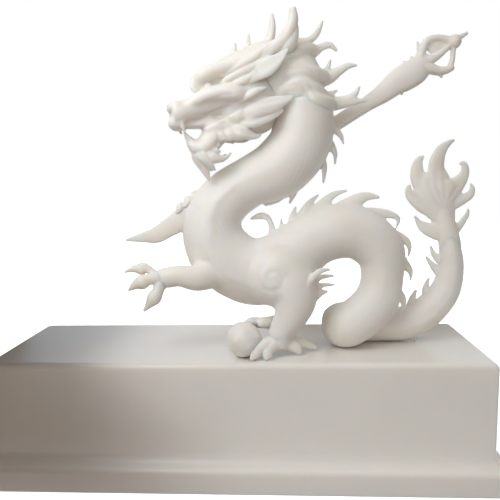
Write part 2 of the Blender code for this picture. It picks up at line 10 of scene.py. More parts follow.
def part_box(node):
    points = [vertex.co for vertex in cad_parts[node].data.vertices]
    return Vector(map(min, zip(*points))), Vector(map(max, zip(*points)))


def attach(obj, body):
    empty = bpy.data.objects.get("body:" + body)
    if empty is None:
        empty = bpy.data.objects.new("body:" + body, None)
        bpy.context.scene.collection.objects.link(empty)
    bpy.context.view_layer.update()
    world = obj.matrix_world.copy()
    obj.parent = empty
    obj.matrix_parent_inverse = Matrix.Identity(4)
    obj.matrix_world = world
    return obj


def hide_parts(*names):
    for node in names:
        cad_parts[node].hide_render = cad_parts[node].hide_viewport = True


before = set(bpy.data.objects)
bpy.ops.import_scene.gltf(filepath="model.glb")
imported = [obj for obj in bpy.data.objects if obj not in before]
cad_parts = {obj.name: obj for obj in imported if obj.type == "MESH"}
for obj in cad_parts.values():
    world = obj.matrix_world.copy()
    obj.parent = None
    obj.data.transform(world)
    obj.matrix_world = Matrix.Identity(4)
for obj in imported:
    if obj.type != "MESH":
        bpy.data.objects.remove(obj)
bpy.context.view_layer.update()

print("frame loaded")

# The dragon is written in shares: a hundred to its height, x to the right of its own axis,
# y away from the viewer, z above the plinth's top.
layout = {
    "share": 0.0028,
    "axisX": 0.04392,
    "axisY": -0.010,
    "top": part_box("plinth")[1].z,
    "seat": 0.0003,  # the soles stand this far above the plinth, as in the frame
    "nape": (-0.7, 0.0, 70.4),
    "headTurn": math.radians(20),
    "mostTriangles": 180000,  # in one piece
}
near, far = -1, 1  # the near side faces the viewer


def at(x, y, z):
    share = layout["share"]
    return Vector((layout["axisX"] + x * share, layout["axisY"] + y * share, layout["top"] + z * share))


def headAxes():
    turn = layout["headTurn"]
    forward = Vector((-math.cos(turn), -math.sin(turn), 0))
    away = Vector((-math.sin(turn), math.cos(turn), 0))
    return forward, away


def onHead(along, across, up):
    forward, away = headAxes()
    return Vector(layout["nape"]) + forward * along + away * across + Vector((0, 0, up))


def headRows(rows, hand=1):
    return [(*onHead(row[0], row[1] * hand, row[2]), row[3]) for row in rows]


def headPairs(rowsList):
    return [headRows(rows, hand) for rows in rowsList for hand in (near, far)]


def handed(rows, hand, backBy=0.0):
    return [(row[0] - backBy, row[1] * hand, row[2], row[3]) for row in rows]


def inPlane(rows, across):
    return [(row[0], across, *row[1:]) for row in rows]


def centreRows(rows):
    return headRows(inPlane(rows, 0))


def addItem(name, data):
    item = bpy.data.objects.new(name, data)
    bpy.context.scene.collection.objects.link(item)
    return item


def meshFrom(name, bm):
    mesh = bpy.data.meshes.new(name)
    bm.to_mesh(mesh)
    bm.free()
    return mesh


# Camera

camera = {
    "place": (0.0363, -0.4383, 0.2386),
    "leftTurn": math.radians(3.35),
    "downTilt": math.radians(7.28),
    "roll": math.radians(-1.19),
    "lens": 36.864,
    "sensor": 36.0,
    "clip": 0.01,
}


def makeCamera():
    turn, tilt, roll = camera["leftTurn"], camera["downTilt"], camera["roll"]
    look = Vector((-math.sin(turn) * math.cos(tilt), math.cos(turn) * math.cos(tilt), -math.sin(tilt)))
    level = Vector((math.cos(turn), math.sin(turn), 0))
    upright = level.cross(look)
    right = level * math.cos(roll) + upright * math.sin(roll)
    up = upright * math.cos(roll) - level * math.sin(roll)
    data = bpy.data.cameras.new("camera")
    data.lens = camera["lens"]
    data.sensor_width = camera["sensor"]
    data.clip_start = camera["clip"]
    eye = addItem("camera", data)
    turned = Matrix((right, up, -look)).transposed().to_4x4()
    eye.matrix_world = Matrix.Translation(camera["place"]) @ turned
    bpy.context.scene.camera = eye


makeCamera()
print("camera placed")


# Materials

resin = {
    "colour": (0.89, 0.86, 0.815),
    "shade": (0.85, 0.805, 0.735),
    "turn": (0.3, 0.6),  # the noise at which the shade turns into the colour
    "roughness": (0.40, 0.54),
    "glow": 0.65,  # subsurface weight, and how far each colour reaches
    "glowColour": (1.0, 0.72, 0.5),
    "depth": 0.0065,
    "bend": 1.48,  # index of refraction
    "mottle": 26.0,
    "mottleDetail": 5.0,
    "grain": 900.0,
    "grainDetail": 3.0,
    "grainStrength": 0.6,
    "grainLift": 0.00006,
}

plinthLook = {
    "colour": (0.885, 0.845, 0.79),
    "shade": (0.84, 0.805, 0.75),
    "roughness": (0.26, 0.40),
    "mottle": 9.0,
}


def fill(node, values):
    for name, value in values.items():
        node.inputs[name].default_value = value


def addNode(tree, kind, values=None, **settings):
    node = tree.nodes.new(kind)
    for name, value in settings.items():
        setattr(node, name, value)
    fill(node, values or {})
    return node


def link(tree, *rows):
    # each row: a node and its output, the next node and its input
    for source, output, target, socket in rows:
        tree.links.new(source.outputs[output], target.inputs[socket])


def makeResin(name, look):
    material = bpy.data.materials.new(name)
    material.use_nodes = True
    tree = material.node_tree
    shader = tree.nodes["Principled BSDF"]
    fill(shader, {"Subsurface Weight": look["glow"], "Subsurface Radius": look["glowColour"],
                  "Subsurface Scale": look["depth"], "IOR": look["bend"]})
    shade, colour = (*look["shade"], 1), (*look["colour"], 1)
    low, high = look["turn"]
    smooth, rough = look["roughness"]
    place = addNode(tree, "ShaderNodeTexCoord")
    mottle = addNode(tree, "ShaderNodeTexNoise", {"Scale": look["mottle"], "Detail": look["mottleDetail"]})
    spread = addNode(tree, "ShaderNodeMapRange", {"From Min": low, "From Max": high})
    tint = addNode(tree, "ShaderNodeMix", {"A": shade, "B": colour}, data_type="RGBA")
    sheen = addNode(tree, "ShaderNodeMapRange", {"To Min": smooth, "To Max": rough})
    grain = addNode(tree, "ShaderNodeTexNoise", {"Scale": look["grain"], "Detail": look["grainDetail"]})
    bump = addNode(tree, "ShaderNodeBump", {"Strength": look["grainStrength"], "Distance": look["grainLift"]})
    link(tree, (place, "Object", mottle, "Vector"), (mottle, "Fac", spread, "Value"),
         (spread, "Result", tint, "Factor"), (tint, "Result", shader, "Base Color"),
         (mottle, "Fac", sheen, "Value"), (sheen, "Result", shader, "Roughness"),
         (place, "Object", grain, "Vector"), (grain, "Fac", bump, "Height"),
         (bump, "Normal", shader, "Normal"))
    return material


carvedResin = makeResin("carvedResin", resin)
plinthResin = makeResin("plinthResin", {**resin, **plinthLook})


# Sweeps: every limb, lock, horn and claw is an oval profile swept along its own curve


def makeSweepTree():
    tree = bpy.data.node_groups.new("sweepAlongCurve", "GeometryNodeTree")
    for name, way, kind in (("Geometry", "INPUT", "Geometry"), ("Steps", "INPUT", "Int"),
                            ("Sides", "INPUT", "Int"), ("Flat", "INPUT", "Float"),
                            ("Finish", "INPUT", "Material"), ("Geometry", "OUTPUT", "Geometry")):
        tree.interface.new_socket(name, in_out=way, socket_type="NodeSocket" + kind)
    given, result = addNode(tree, "NodeGroupInput"), addNode(tree, "NodeGroupOutput")
    smooth = addNode(tree, "GeometryNodeCurveSplineType", spline_type="CATMULL_ROM")
    fine = addNode(tree, "GeometryNodeSetSplineResolution")
    ring = addNode(tree, "GeometryNodeCurvePrimitiveCircle", {"Radius": 1.0})
    thickness = addNode(tree, "ShaderNodeCombineXYZ", {"Y": 1.0, "Z": 1.0})
    oval = addNode(tree, "GeometryNodeTransform")
    width = addNode(tree, "GeometryNodeInputRadius")
    sweep = addNode(tree, "GeometryNodeCurveToMesh", {"Fill Caps": True})
    real = addNode(tree, "GeometryNodeRealizeInstances")
    finish = addNode(tree, "GeometryNodeSetMaterial")
    link(tree, (given, "Geometry", smooth, "Curve"), (smooth, "Curve", fine, "Geometry"),
         (given, "Steps", fine, "Resolution"), (given, "Sides", ring, "Resolution"),
         (given, "Flat", thickness, "X"), (thickness, "Vector", oval, "Scale"),
         (ring, "Curve", oval, "Geometry"), (fine, "Geometry", sweep, "Curve"),
         (oval, "Geometry", sweep, "Profile Curve"), (width, "Radius", sweep, "Scale"),
         (sweep, "Mesh", real, "Geometry"), (real, "Geometry", finish, "Geometry"),
         (given, "Finish", finish, "Material"), (finish, "Geometry", result, "Geometry"))
    return tree


sweepTree = makeSweepTree()


def setInput(modifier, name, value):
    for item in modifier.node_group.interface.items_tree:
        if item.item_type == "SOCKET" and item.in_out == "INPUT" and item.name == name:
            modifier[item.identifier] = value


def bakeMesh(item):
    graph = bpy.context.evaluated_depsgraph_get()
    mesh = bpy.data.meshes.new_from_object(item.evaluated_get(graph), depsgraph=graph)
    bpy.data.objects.remove(item, do_unlink=True)
    return mesh


def sweeps(rowsList, sides=12, steps=5, flat=1.0):
    curve = bpy.data.curves.new("sweep", "CURVE")
    curve.dimensions = "3D"
    for rows in rowsList:
        spline = curve.splines.new("POLY")
        spline.points.add(len(rows) - 1)
        for point, row in zip(spline.points, rows):
            point.co = (*at(*row[:3]), 1)
            point.radius = row[3] * layout["share"]
    item = addItem("sweep", curve)
    modifier = item.modifiers.new("sweep", "NODES")
    modifier.node_group = sweepTree
    for name, value in (("Steps", steps), ("Sides", sides), ("Flat", flat), ("Finish", carvedResin)):
        setInput(modifier, name, value)
    return bakeMesh(item)


def blob(centre, radii, turn=0.0):
    bm = bmesh.new()
    share = layout["share"]
    matrix = (Matrix.Translation(at(*centre)) @ Matrix.Rotation(turn, 4, "Z")
              @ Matrix.Diagonal((*(radius * share for radius in radii), 1.0)))
    bmesh.ops.create_uvsphere(bm, u_segments=32, v_segments=20, radius=1.0, matrix=matrix)
    return meshFrom("blob", bm)


def headBlob(centre, radii):
    return blob(onHead(*centre), radii, turn=layout["headTurn"])


def headBlobPair(centre, radii):
    return [headBlob((centre[0], centre[1] * hand, centre[2]), radii) for hand in (near, far)]


def fuse(meshes, voxel, passes):
    bm = bmesh.new()
    for mesh in meshes:
        bm.from_mesh(mesh)
        bpy.data.meshes.remove(mesh)
    item = addItem("joined", meshFrom("joined", bm))
    skin = item.modifiers.new("skin", "REMESH")
    skin.mode = "VOXEL"
    skin.voxel_size = voxel
    soften = item.modifiers.new("soften", "SMOOTH")
    soften.iterations = passes
    return bakeMesh(item)


# Carving: grooves, dents and scales moved into a fused skin along its normals

carving = {
    "strokeEnds": (-0.05, 0.12),  # how a groove fades in from its ends, in parts of its length
    "headFacing": (0.05, 0.45),  # how far the skin has to face sideways to take a groove
    "bodyFacing": (0.05, 0.4),
    "curveSteps": 12,
}


def meshPoints(mesh):
    points = np.empty(len(mesh.vertices) * 3)
    mesh.vertices.foreach_get("co", points)
    return points.reshape(-1, 3)


def meshNormals(mesh):
    normals = np.empty(len(mesh.vertices) * 3)
    mesh.vertex_normals.foreach_get("vector", normals)
    return normals.reshape(-1, 3)


def inShares(points):
    share = layout["share"]
    return (points - np.array((layout["axisX"], layout["axisY"], layout["top"]))) / share


def movePoints(mesh, points):
    mesh.vertices.foreach_set("co", points.ravel())
    mesh.update()


def raiseSkin(mesh, lift):
    movePoints(mesh, meshPoints(mesh) + meshNormals(mesh) * (lift * layout["share"])[:, None])


def lengths(rows):
    return np.linalg.norm(rows, axis=1)


def ramp(value, low, high):
    part = np.clip((value - low) / (high - low), 0, 1)
    return part * part * (3 - 2 * part)


def strokeDistance(spots, stroke):
    stroke = np.array(stroke, float)
    nearest = np.full(len(spots), 1e9)
    along = np.zeros(len(spots))
    for index, (start, end) in enumerate(zip(stroke, stroke[1:])):
        leg = end - start
        part = np.clip((spots - start) @ leg / (leg @ leg), 0, 1)
        away = lengths(spots - start - part[:, None] * leg)
        closer = away < nearest
        nearest[closer] = away[closer]
        along[closer] = (index + part[closer]) / (len(stroke) - 1)
    return nearest, along


def strokeLift(spots, strokes, width):
    lift = np.zeros(len(spots))
    for stroke in strokes:
        away, along = strokeDistance(spots, stroke)
        ends = ramp(np.minimum(along, 1 - along), *carving["strokeEnds"])
        lift = np.maximum(lift, np.exp(-(away / width) ** 2) * ends)
    return lift


def headPlane(points):
    forward, away = headAxes()
    placed = inShares(points) - np.array(layout["nape"])
    return np.stack([placed @ np.array(forward), placed[:, 2]], axis=1), placed @ np.array(away)


def sideWeight(across, facing, fade, least=0.0):
    # 1 where the skin faces sideways, on the near half and the far half each for itself
    return sum(ramp(facing * hand, *fade) * (across * hand > least) for hand in (near, far))


def etchHead(mesh, strokes, width, depth):
    spots, across = headPlane(meshPoints(mesh))
    facing = meshNormals(mesh) @ np.array(headAxes()[1])
    weight = sideWeight(across, facing, carving["headFacing"])
    raiseSkin(mesh, -depth * strokeLift(spots, strokes, width) * weight)


def etchBody(mesh, strokes, width, depth, least=0.0):
    placed = inShares(meshPoints(mesh))
    facing = meshNormals(mesh)[:, 1]
    weight = sideWeight(placed[:, 1], facing, carving["bodyFacing"], least)
    raiseSkin(mesh, -depth * strokeLift(placed[:, [0, 2]], strokes, width) * weight)


def press(mesh, centre, radius, depth):
    away = lengths(inShares(meshPoints(mesh)) - np.array(centre))
    raiseSkin(mesh, -depth * np.exp(-(away / radius) ** 2))


def denseCurve(rows):
    steps = carving["curveSteps"]
    rows = np.array(rows, float)
    run = np.vstack([2 * rows[0] - rows[1], rows, 2 * rows[-1] - rows[-2]])
    dense = []
    for a, b, c, d in zip(run, run[1:], run[2:], run[3:]):
        for step in range(steps):
            t = step / steps
            dense.append(0.5 * (2 * b + (c - a) * t + (2 * a - 5 * b + 4 * c - d) * t ** 2
                                + (3 * b - a - 3 * c + d) * t ** 3))
    dense.append(rows[-1])
    return np.array(dense)


def nearestStations(placed, dense):
    tree = KDTree(len(dense))
    for index, row in enumerate(dense):
        tree.insert(row[:3], index)
    tree.balance()
    return np.array([tree.find(spot)[1] for spot in placed])


def closeness(placed, rows):
    # 1 on the skin of the sweep through these rows, less inside it
    dense = denseCurve(rows)
    index = nearestStations(placed, dense)
    return lengths(placed - dense[index, :3]) / dense[index, 3]


def spineCoordinates(placed, rows):
    dense = denseCurve(rows)
    centres, widths = dense[:, :3], dense[:, 3]
    tangents = np.gradient(centres, axis=0)
    spans = lengths(tangents)
    tangents = tangents / spans[:, None]
    run = np.concatenate([[0], np.cumsum(lengths(np.diff(centres, axis=0)) / widths[1:])])
    index = nearestStations(placed, dense)
    offset = placed - centres[index]
    ahead = np.sum(offset * tangents[index], axis=1)
    dorsal = np.stack([-tangents[:, 2], np.zeros(len(dense)), tangents[:, 0]], axis=1)
    dorsal = dorsal / lengths(dorsal)[:, None]
    side = np.cross(tangents, dorsal)
    up = np.sum(offset * dorsal[index], axis=1)
    out = np.sum(offset * side[index], axis=1)
    angle = np.arctan2(out, up)
    away = np.hypot(up, out) / widths[index]
    return run[index] + ahead / widths[index], angle, away


hide = {
    "scaleTurn": math.radians(10),  # one scale's width round the body
    "scaleRun": 0.17,  # one row's length, in half widths of the body
    "scaleLong": 1.1,  # half a scale's length and width, in rows and turns
    "scaleWide": 0.62,
    "scaleTilt": 0.4,  # how much higher its end stands
    "scaleLift": 0.10,  # in shares
    "backFade": 0.16,
    "bellyFrom": math.radians(104),  # from the spine's line
    "bellyFade": 0.04,
    "bellyStep": 0.14,
    "bellyFlat": 0.3,  # how far the belly is pressed in, in shares
    "bellyEase": 0.4,
    "plateRun": 0.42,
    "plateEdge": (0.8, 1.0),
    "plateGroove": 0.06,
    "rimLift": 0.08,  # the flank's rim along the belly
    "rimPlace": 0.14,
    "rimWidth": 0.13,
    "skinEdge": (1.12, 1.3),  # scales fade out off the trunk, in its half widths
    "limbEdge": (1.05, 1.3),  # and where a limb or spike comes near, in its own
}


def hideLift(run, angle, belly):
    rows = run / hide["scaleRun"]
    columns = angle / hide["scaleTurn"]
    best = np.zeros(len(run))
    for back in (-1, 0, 1):
        row = np.floor(rows) + back
        ahead = rows - row - 0.5
        shifted = columns - 0.5 * (row % 2)
        aside = shifted - np.round(shifted)
        inside = 1 - (ahead / hide["scaleLong"]) ** 2 - (aside / hide["scaleWide"]) ** 2
        best = np.maximum(best, np.clip(inside, 0, 1) * (1 + hide["scaleTilt"] * ahead))
    turned = np.abs(angle)
    edge, fade = hide["bellyFrom"], hide["bellyFade"]
    onBack = 1 - ramp(turned, edge - hide["backFade"], edge)
    onBelly = ramp(turned, edge - fade, edge + fade)
    plates = np.abs((run / hide["plateRun"]) % 1 - 0.5) * 2
    plate = hide["bellyStep"] + hide["plateGroove"] * ramp(plates, *hide["plateEdge"])
    rim = np.exp(-((turned - edge + hide["rimPlace"]) / hide["rimWidth"]) ** 2)
    flat = ramp(turned, edge, edge + hide["bellyEase"])
    return (best * hide["scaleLift"] * onBack
            + belly * (rim * hide["rimLift"] - onBelly * plate - flat * hide["bellyFlat"]))


def bareSkin(placed, away, limbs):
    # 1 where the skin is the trunk's own, 0 on limbs and spikes
    bare = 1 - ramp(away, *hide["skinEdge"])
    for rows in limbs:
        bare *= ramp(closeness(placed, rows), *hide["limbEdge"])
    return bare


# Pieces


def lightened(mesh):
    # a skin with too many triangles loses the ones that show least
    mesh.calc_loop_triangles()
    share = layout["mostTriangles"] / len(mesh.loop_triangles)
    if share >= 1:
        return mesh
    item = addItem("light", mesh)
    item.modifiers.new("thin", "DECIMATE").ratio = share
    return bakeMesh(item)


def addPiece(name, mesh, node="dragon", material=carvedResin):
    mesh = lightened(mesh)
    mesh.materials.clear()
    mesh.materials.append(material)
    mesh.polygons.foreach_set("use_smooth", [True] * len(mesh.polygons))
    mesh.name = name
    piece = addItem(name, mesh)
    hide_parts(node)
    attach(piece, "root")


def flattenSoles(mesh):
    # nothing of the dragon goes below its seat on the plinth
    points = meshPoints(mesh)
    floor = layout["top"] + layout["seat"]
    points[:, 2] = np.maximum(points[:, 2], floor)
    movePoints(mesh, points)


# Body: neck, chest, belly, back and coil, with thighs, shins, arms and spikes in one skin

body = {
    "soft": (0.0018, 9),  # voxel size and smoothing passes, for trunk and limbs
    "fine": (0.00095, 2),  # and once spikes and hair are on
    "spine": [
        (3.4, 0, 73, 8), (4.4, 0, 67.2, 8.7), (3.9, 0, 61.8, 8.6), (1.1, 0, 57.3, 8.7), (-3.6, 0, 53.2, 8.5),
        (-11.2, 0, 50, 7.2), (-17.2, 0, 46.4, 7.5), (-21.6, 0, 41.6, 8.1), (-23, 0, 36.4, 8.9),
        (-22.2, 0, 31.6, 9.4), (-19.4, 0, 27.4, 9.8), (-15.2, 0, 24.2, 9.9), (-9.6, 0, 22.6, 10),
        (-3, 0, 24.8, 9.7), (4.2, 0, 30.2, 8.5), (9, 0, 33, 7.8), (15.2, 0, 34.8, 8),
        (21.4, -0.1, 33.7, 7.6), (26.7, -0.4, 28.6, 7.05), (27.4, -1, 21.5, 5.95), (25.8, -1.8, 14.6, 6.3),
        (21.4, -2.4, 9.8, 6.3), (17, -2, 6.9, 6.4), (16, 1.2, 6.4, 6.1), (18, 3.8, 6, 5.6),
        (22, 4.6, 5.7, 4.6),
    ],
    "swell": 0.3,  # makes up for what smoothing takes off
    "keel": [(-23.6, 0, 41, 7.4), (-24.6, 0, 35, 7.4), (-22.6, 0, 28, 8)],
    "haunch": ((-4.6, 0, 21.4), (8, 8.4, 9.6)),
    "thighs": [((-2.4, -6, 22.6), (10.2, 7.5, 9.4)), ((-1.6, 5, 23), (8.2, 6.3, 7.8))],
    "nearArm": [
        (-13, -1, 28, 4), (-18, -3.4, 25.4, 4.2), (-22.2, -5.9, 23.6, 3.9), (-26.6, -8.7, 22.7, 3.5),
        (-31.4, -9.8, 23.6, 2.8), (-34.8, -10, 23.2, 2.8), (-37.2, -10, 23.1, 2.4), (-39, -10, 23.2, 1.4),
    ],
    "farArm": [
        (-13, 1, 29, 4.4), (-18, 5.6, 28.4, 5), (-21.6, 9.2, 27.2, 4.4), (-24.8, 12, 28.4, 3.5),
        (-27.4, 13.2, 33, 2.8), (-30.6, 13.2, 37.6, 2.8), (-31.8, 12.6, 40, 2.5),
    ],
    "nearLeg": [
        (-0.6, -3.6, 24.4, 6.8), (0.6, -7, 20.8, 6.9), (1.7, -8.7, 16.4, 5.8), (0.2, -9.3, 11.6, 4.6),
        (-2.1, -9.2, 7.6, 3.6), (-3.2, -9.3, 4.4, 3.2),
    ],
    "farLeg": [
        (-1, 4.2, 25, 7.6), (1.8, 7.4, 20.6, 6.6), (3.4, 8, 15, 5), (2.2, 6, 10.4, 3.8),
        (-0.8, 1.6, 7.8, 2.9),
    ],
    "kneeHair": [
        [(3, 12.4, 18, 0.6), (4.3, 12.6, 20.4, 0.95), (6.1, 11.6, 22.8, 1), (8.5, 10.2, 24.6, 0.9),
         (11.5, 9, 24.9, 0.4)],
        [(3, 8, 18.6, 1.4), (6.4, 8.4, 20.9, 1), (9, 8.4, 22.6, 0.8), (12.6, 8.2, 22.9, 0.4)],
        [(3, 8, 17.6, 1.6), (6.4, 8.2, 19.2, 1), (9.4, 8.2, 20.2, 0.75), (13, 8, 20.3, 0.35)],
        [(2.6, 8.2, 14.8, 2.4), (6.2, 8.6, 16.6, 1.7), (9, 8.4, 18, 0.9), (11, 8.2, 18.5, 0.35)],
    ],
    "hairFlat": 0.8,
    "farBack": 3.0,  # the far leg's hair stands this far back of the near one's
    "thighEdge": (1.02, 1.12),  # the scales begin here, in the thigh's radii
    "coilFade": (-8, 10),  # the belly's relief is lost from the chest back to the coil
    "coilLoss": 0.6,
    "neckFade": (44, 54),  # and up the neck
    "neckLoss": 0.9,
    "disc": ((-2.4, 22.6), (9.2, 9.2)),  # the thigh's outline, which stands proud of the belly
    "discEdge": (0.9, 1.05),
    "discBack": (-5, 5),
    "discFoot": (13, 22),
    "discFacing": (0.1, 0.6),
    "discLift": 0.4,
}

spikes = {
    "flat": 0.55,
    "curlFlat": 0.7,
    "neckAcross": 0.5,  # the place across, which the rows of neck leave out
    "neck": [
        [(8, 65.5, 2), (11.5, 65.5, 1.8), (13.8, 64.4, 1.2), (15.5, 62.6, 0.8), (16.3, 60.2, 0.3)],
        [(7, 63, 2), (10.2, 62, 2), (12.6, 60, 1.3), (13.8, 57.4, 0.8), (13.8, 54.4, 0.3)],
        [(5, 60, 2), (8, 58.2, 2), (10.1, 55.4, 1.3), (10.7, 52.4, 0.8), (10.4, 49, 0.3)],
        [(2.4, 54.6, 1.8), (3, 50.6, 1.2), (1.9, 46.8, 1), (0.3, 43.2, 0.4)],
        [(0, 51, 1.8), (-0.6, 47.4, 1.3), (-3.2, 44.4, 0.9), (-7.2, 42.8, 0.35)],
        [(-5.8, 48.6, 1.4), (-7.6, 44.8, 0.9), (-9.6, 42.9, 0.65), (-11.8, 41, 0.35)],
    ],
    "backAcross": (0, 0, 0, 0, 0, 0, 0, -0.4, -0.8),
    "back": [
        [(-2.2, 32, 1.6), (-2.3, 35.2, 1), (-2.2, 37, 0.7), (-2.1, 39, 0.35)],
        [(0, 33, 2), (0.6, 36.4, 1.4), (1.5, 40.1, 0.9), (2.3, 42.6, 0.35)],
        [(3, 35.2, 2.8), (4.3, 39.3, 2), (6.1, 43, 1.1), (9, 45.8, 0.4)],
        [(7.4, 36.8, 3.4), (9, 40.7, 2.6), (11.8, 44.4, 1.4), (14.2, 46, 0.9), (17.4, 46.8, 0.4)],
        [(13.2, 37.6, 3.6), (15.8, 40.8, 3), (20.5, 44, 2), (23.4, 45, 1.3), (26.8, 44.6, 0.45)],
        [(19.6, 38.2, 2.8), (23.2, 39.7, 2.1), (27.6, 39.9, 1.5), (30.8, 39.2, 1), (32.3, 37.9, 0.75),
         (31.6, 35.4, 0.4)],
        [(28.2, 33.6, 2.4), (31.4, 33.2, 1.8), (34.7, 31.6, 1.2), (35.7, 29.3, 0.7), (35.3, 26.8, 0.35)],
        [(30, 28.2, 2.4), (32.9, 26, 1.9), (35.4, 23.4, 1.2), (36.1, 21.7, 0.7), (35.9, 19.8, 0.35)],
        [(29.4, 18.4, 2.2), (31.8, 16.8, 1.6), (33.6, 14.6, 1.2), (34, 12.4, 0.8), (33.6, 10.4, 0.4)],
    ],
    "curl": [
        (-4.2, 30.5, 2.6), (-4.8, 33.9, 1.5), (-5.2, 37.2, 0.95), (-6.4, 39.3, 0.95), (-8.4, 39.8, 1.05),
        (-11.4, 38.9, 0.4),
    ],
    "tail": [
        [(37.6, 4, 9, 2.4), (37.8, 4, 13, 1.2), (39, 4, 16.2, 0.4)],
        [(43.4, 4, 12.5, 2.4), (41.8, 4, 16.2, 1.2), (42.7, 4, 19.8, 0.4)],
        [(47.2, 3.5, 20, 2), (43.8, 3.5, 23.4, 1.1), (41.4, 3.5, 26.5, 0.4)],
        [(47.4, 3.3, 24.4, 1.8), (44, 3.3, 26.8, 1), (42.7, 3.3, 29.8, 0.4)],
    ],
}

# the thigh's spiral, the shoulder's line and the rim in front of it
bodyStrokes = [  # width and depth, and the line itself
    (0.7, 0.22, [(-4.4, 22.9), (-5.5, 22.3), (-6.3, 23.4), (-5.4, 25), (-3.3, 25.1), (-1.9, 23.2),
                 (-2.5, 20.7), (-4.9, 19.4), (-7.6, 20.2), (-9, 22.6), (-8.7, 25.6), (-6.7, 28.2),
                 (-3, 29.6)]),
    (0.9, 0.1, [(-20.6, 32), (-20.4, 36), (-20.2, 40), (-19, 43.6), (-16.2, 46.6), (-12.4, 49)]),
    (1.0, -0.1, [(-22.6, 31), (-22.2, 36), (-21.9, 40), (-21, 43.6), (-18.2, 47), (-14, 50.2)]),
]


def swollen(rows):
    return [(*row[:3], row[3] + body["swell"]) for row in rows]


def raiseThighs(mesh):
    placed = inShares(meshPoints(mesh))
    facing = meshNormals(mesh)[:, 1]
    centre, radii = body["disc"]
    reach = np.hypot((placed[:, 0] - centre[0]) / radii[0], (placed[:, 2] - centre[1]) / radii[1])
    inside = (1 - ramp(reach, *body["discEdge"])) * (1 - ramp(placed[:, 0], *body["discBack"]))
    inside *= ramp(placed[:, 2], *body["discFoot"])
    raiseSkin(mesh, body["discLift"] * inside * ramp(np.abs(facing), *body["discFacing"]))


def makeBody():
    limbs = [swollen(body[name]) for name in ("nearArm", "farArm", "nearLeg", "farLeg")]
    spine = swollen(body["spine"])
    saw = [inPlane(spike, spikes["neckAcross"]) for spike in spikes["neck"]]
    saw += [inPlane(spike, across) for spike, across in zip(spikes["back"], spikes["backAcross"])]
    curl = inPlane(spikes["curl"], 0)
    hair = [handed(lock, near) for lock in body["kneeHair"]]
    hair += [handed(lock, far, body["farBack"]) for lock in body["kneeHair"]]
    trunk = fuse([sweeps([spine], sides=48, steps=8), sweeps([swollen(body["keel"])], sides=32),
                  blob(*body["haunch"]), *(blob(*thigh) for thigh in body["thighs"]),
                  sweeps(limbs, sides=32, steps=8)], *body["soft"])
    mesh = fuse([trunk, sweeps(saw, sides=16, flat=spikes["flat"]),
                 sweeps([curl], sides=16, flat=spikes["curlFlat"]),
                 sweeps(hair, flat=body["hairFlat"])], *body["fine"])
    placed = inShares(meshPoints(mesh))
    run, angle, away = spineCoordinates(placed, spine)
    bare = bareSkin(placed, away, limbs + saw + [curl])
    for centre, radii in body["thighs"]:
        reach = lengths((placed - np.array(centre)) / np.array(radii))
        bare *= ramp(reach, *body["thighEdge"])
    # the belly shows most on the chest, least on the neck and the coil
    belly = 1 - body["coilLoss"] * ramp(placed[:, 0], *body["coilFade"])
    belly *= 1 - body["neckLoss"] * ramp(placed[:, 2], *body["neckFade"])
    raiseSkin(mesh, hideLift(run, angle, belly) * bare)
    raiseThighs(mesh)
    for width, depth, stroke in bodyStrokes:
        etchBody(mesh, [stroke], width, depth)
    flattenSoles(mesh)
    addPiece("body", mesh)


makeBody()


# Tail: the run behind the coil, the rise with its spikes, and the strut

tail = {
    "fine": (0.00075, 3),
    "belly": 0.2,
    "bareTop": (30, 34),  # the scales fade out at this height, under the tuft
    "spine": [
        (16.2, 1, 6.4, 4.6), (18, 3.8, 6, 5.5), (21.6, 4.6, 5.7, 5.95), (27.8, 4.9, 5.3, 5.5),
        (34.6, 4.4, 5.4, 5.1), (41.4, 4, 8.4, 5), (47.2, 3.6, 15.1, 4.4), (49, 3.2, 22.6, 3.7),
        (48.5, 3, 28.6, 3.2), (47.8, 3, 32.6, 2.4), (47.2, 3, 36, 1.2),
    ],
    "strut": [(38.8, 3.6, -0.5, 0.5), (38.8, 3.8, 3.5, 0.6)],
}


def makeTail():
    parts = [sweeps([tail["spine"]], sides=40, steps=8), sweeps([tail["strut"]], sides=16),
             sweeps(spikes["tail"], sides=16, flat=spikes["flat"])]
    mesh = fuse(parts, *tail["fine"])
    placed = inShares(meshPoints(mesh))
    run, angle, away = spineCoordinates(placed, tail["spine"][1:])
    bare = bareSkin(placed, away, spikes["tail"]) * (1 - ramp(placed[:, 2], *tail["bareTop"]))
    raiseSkin(mesh, hideLift(run, angle, tail["belly"]) * bare)
    flattenSoles(mesh)
    addPiece("tail", mesh)


makeTail()
print("body and tail carved")


# Tail tuft: locks fanned out from a flat palm, with grooves between them

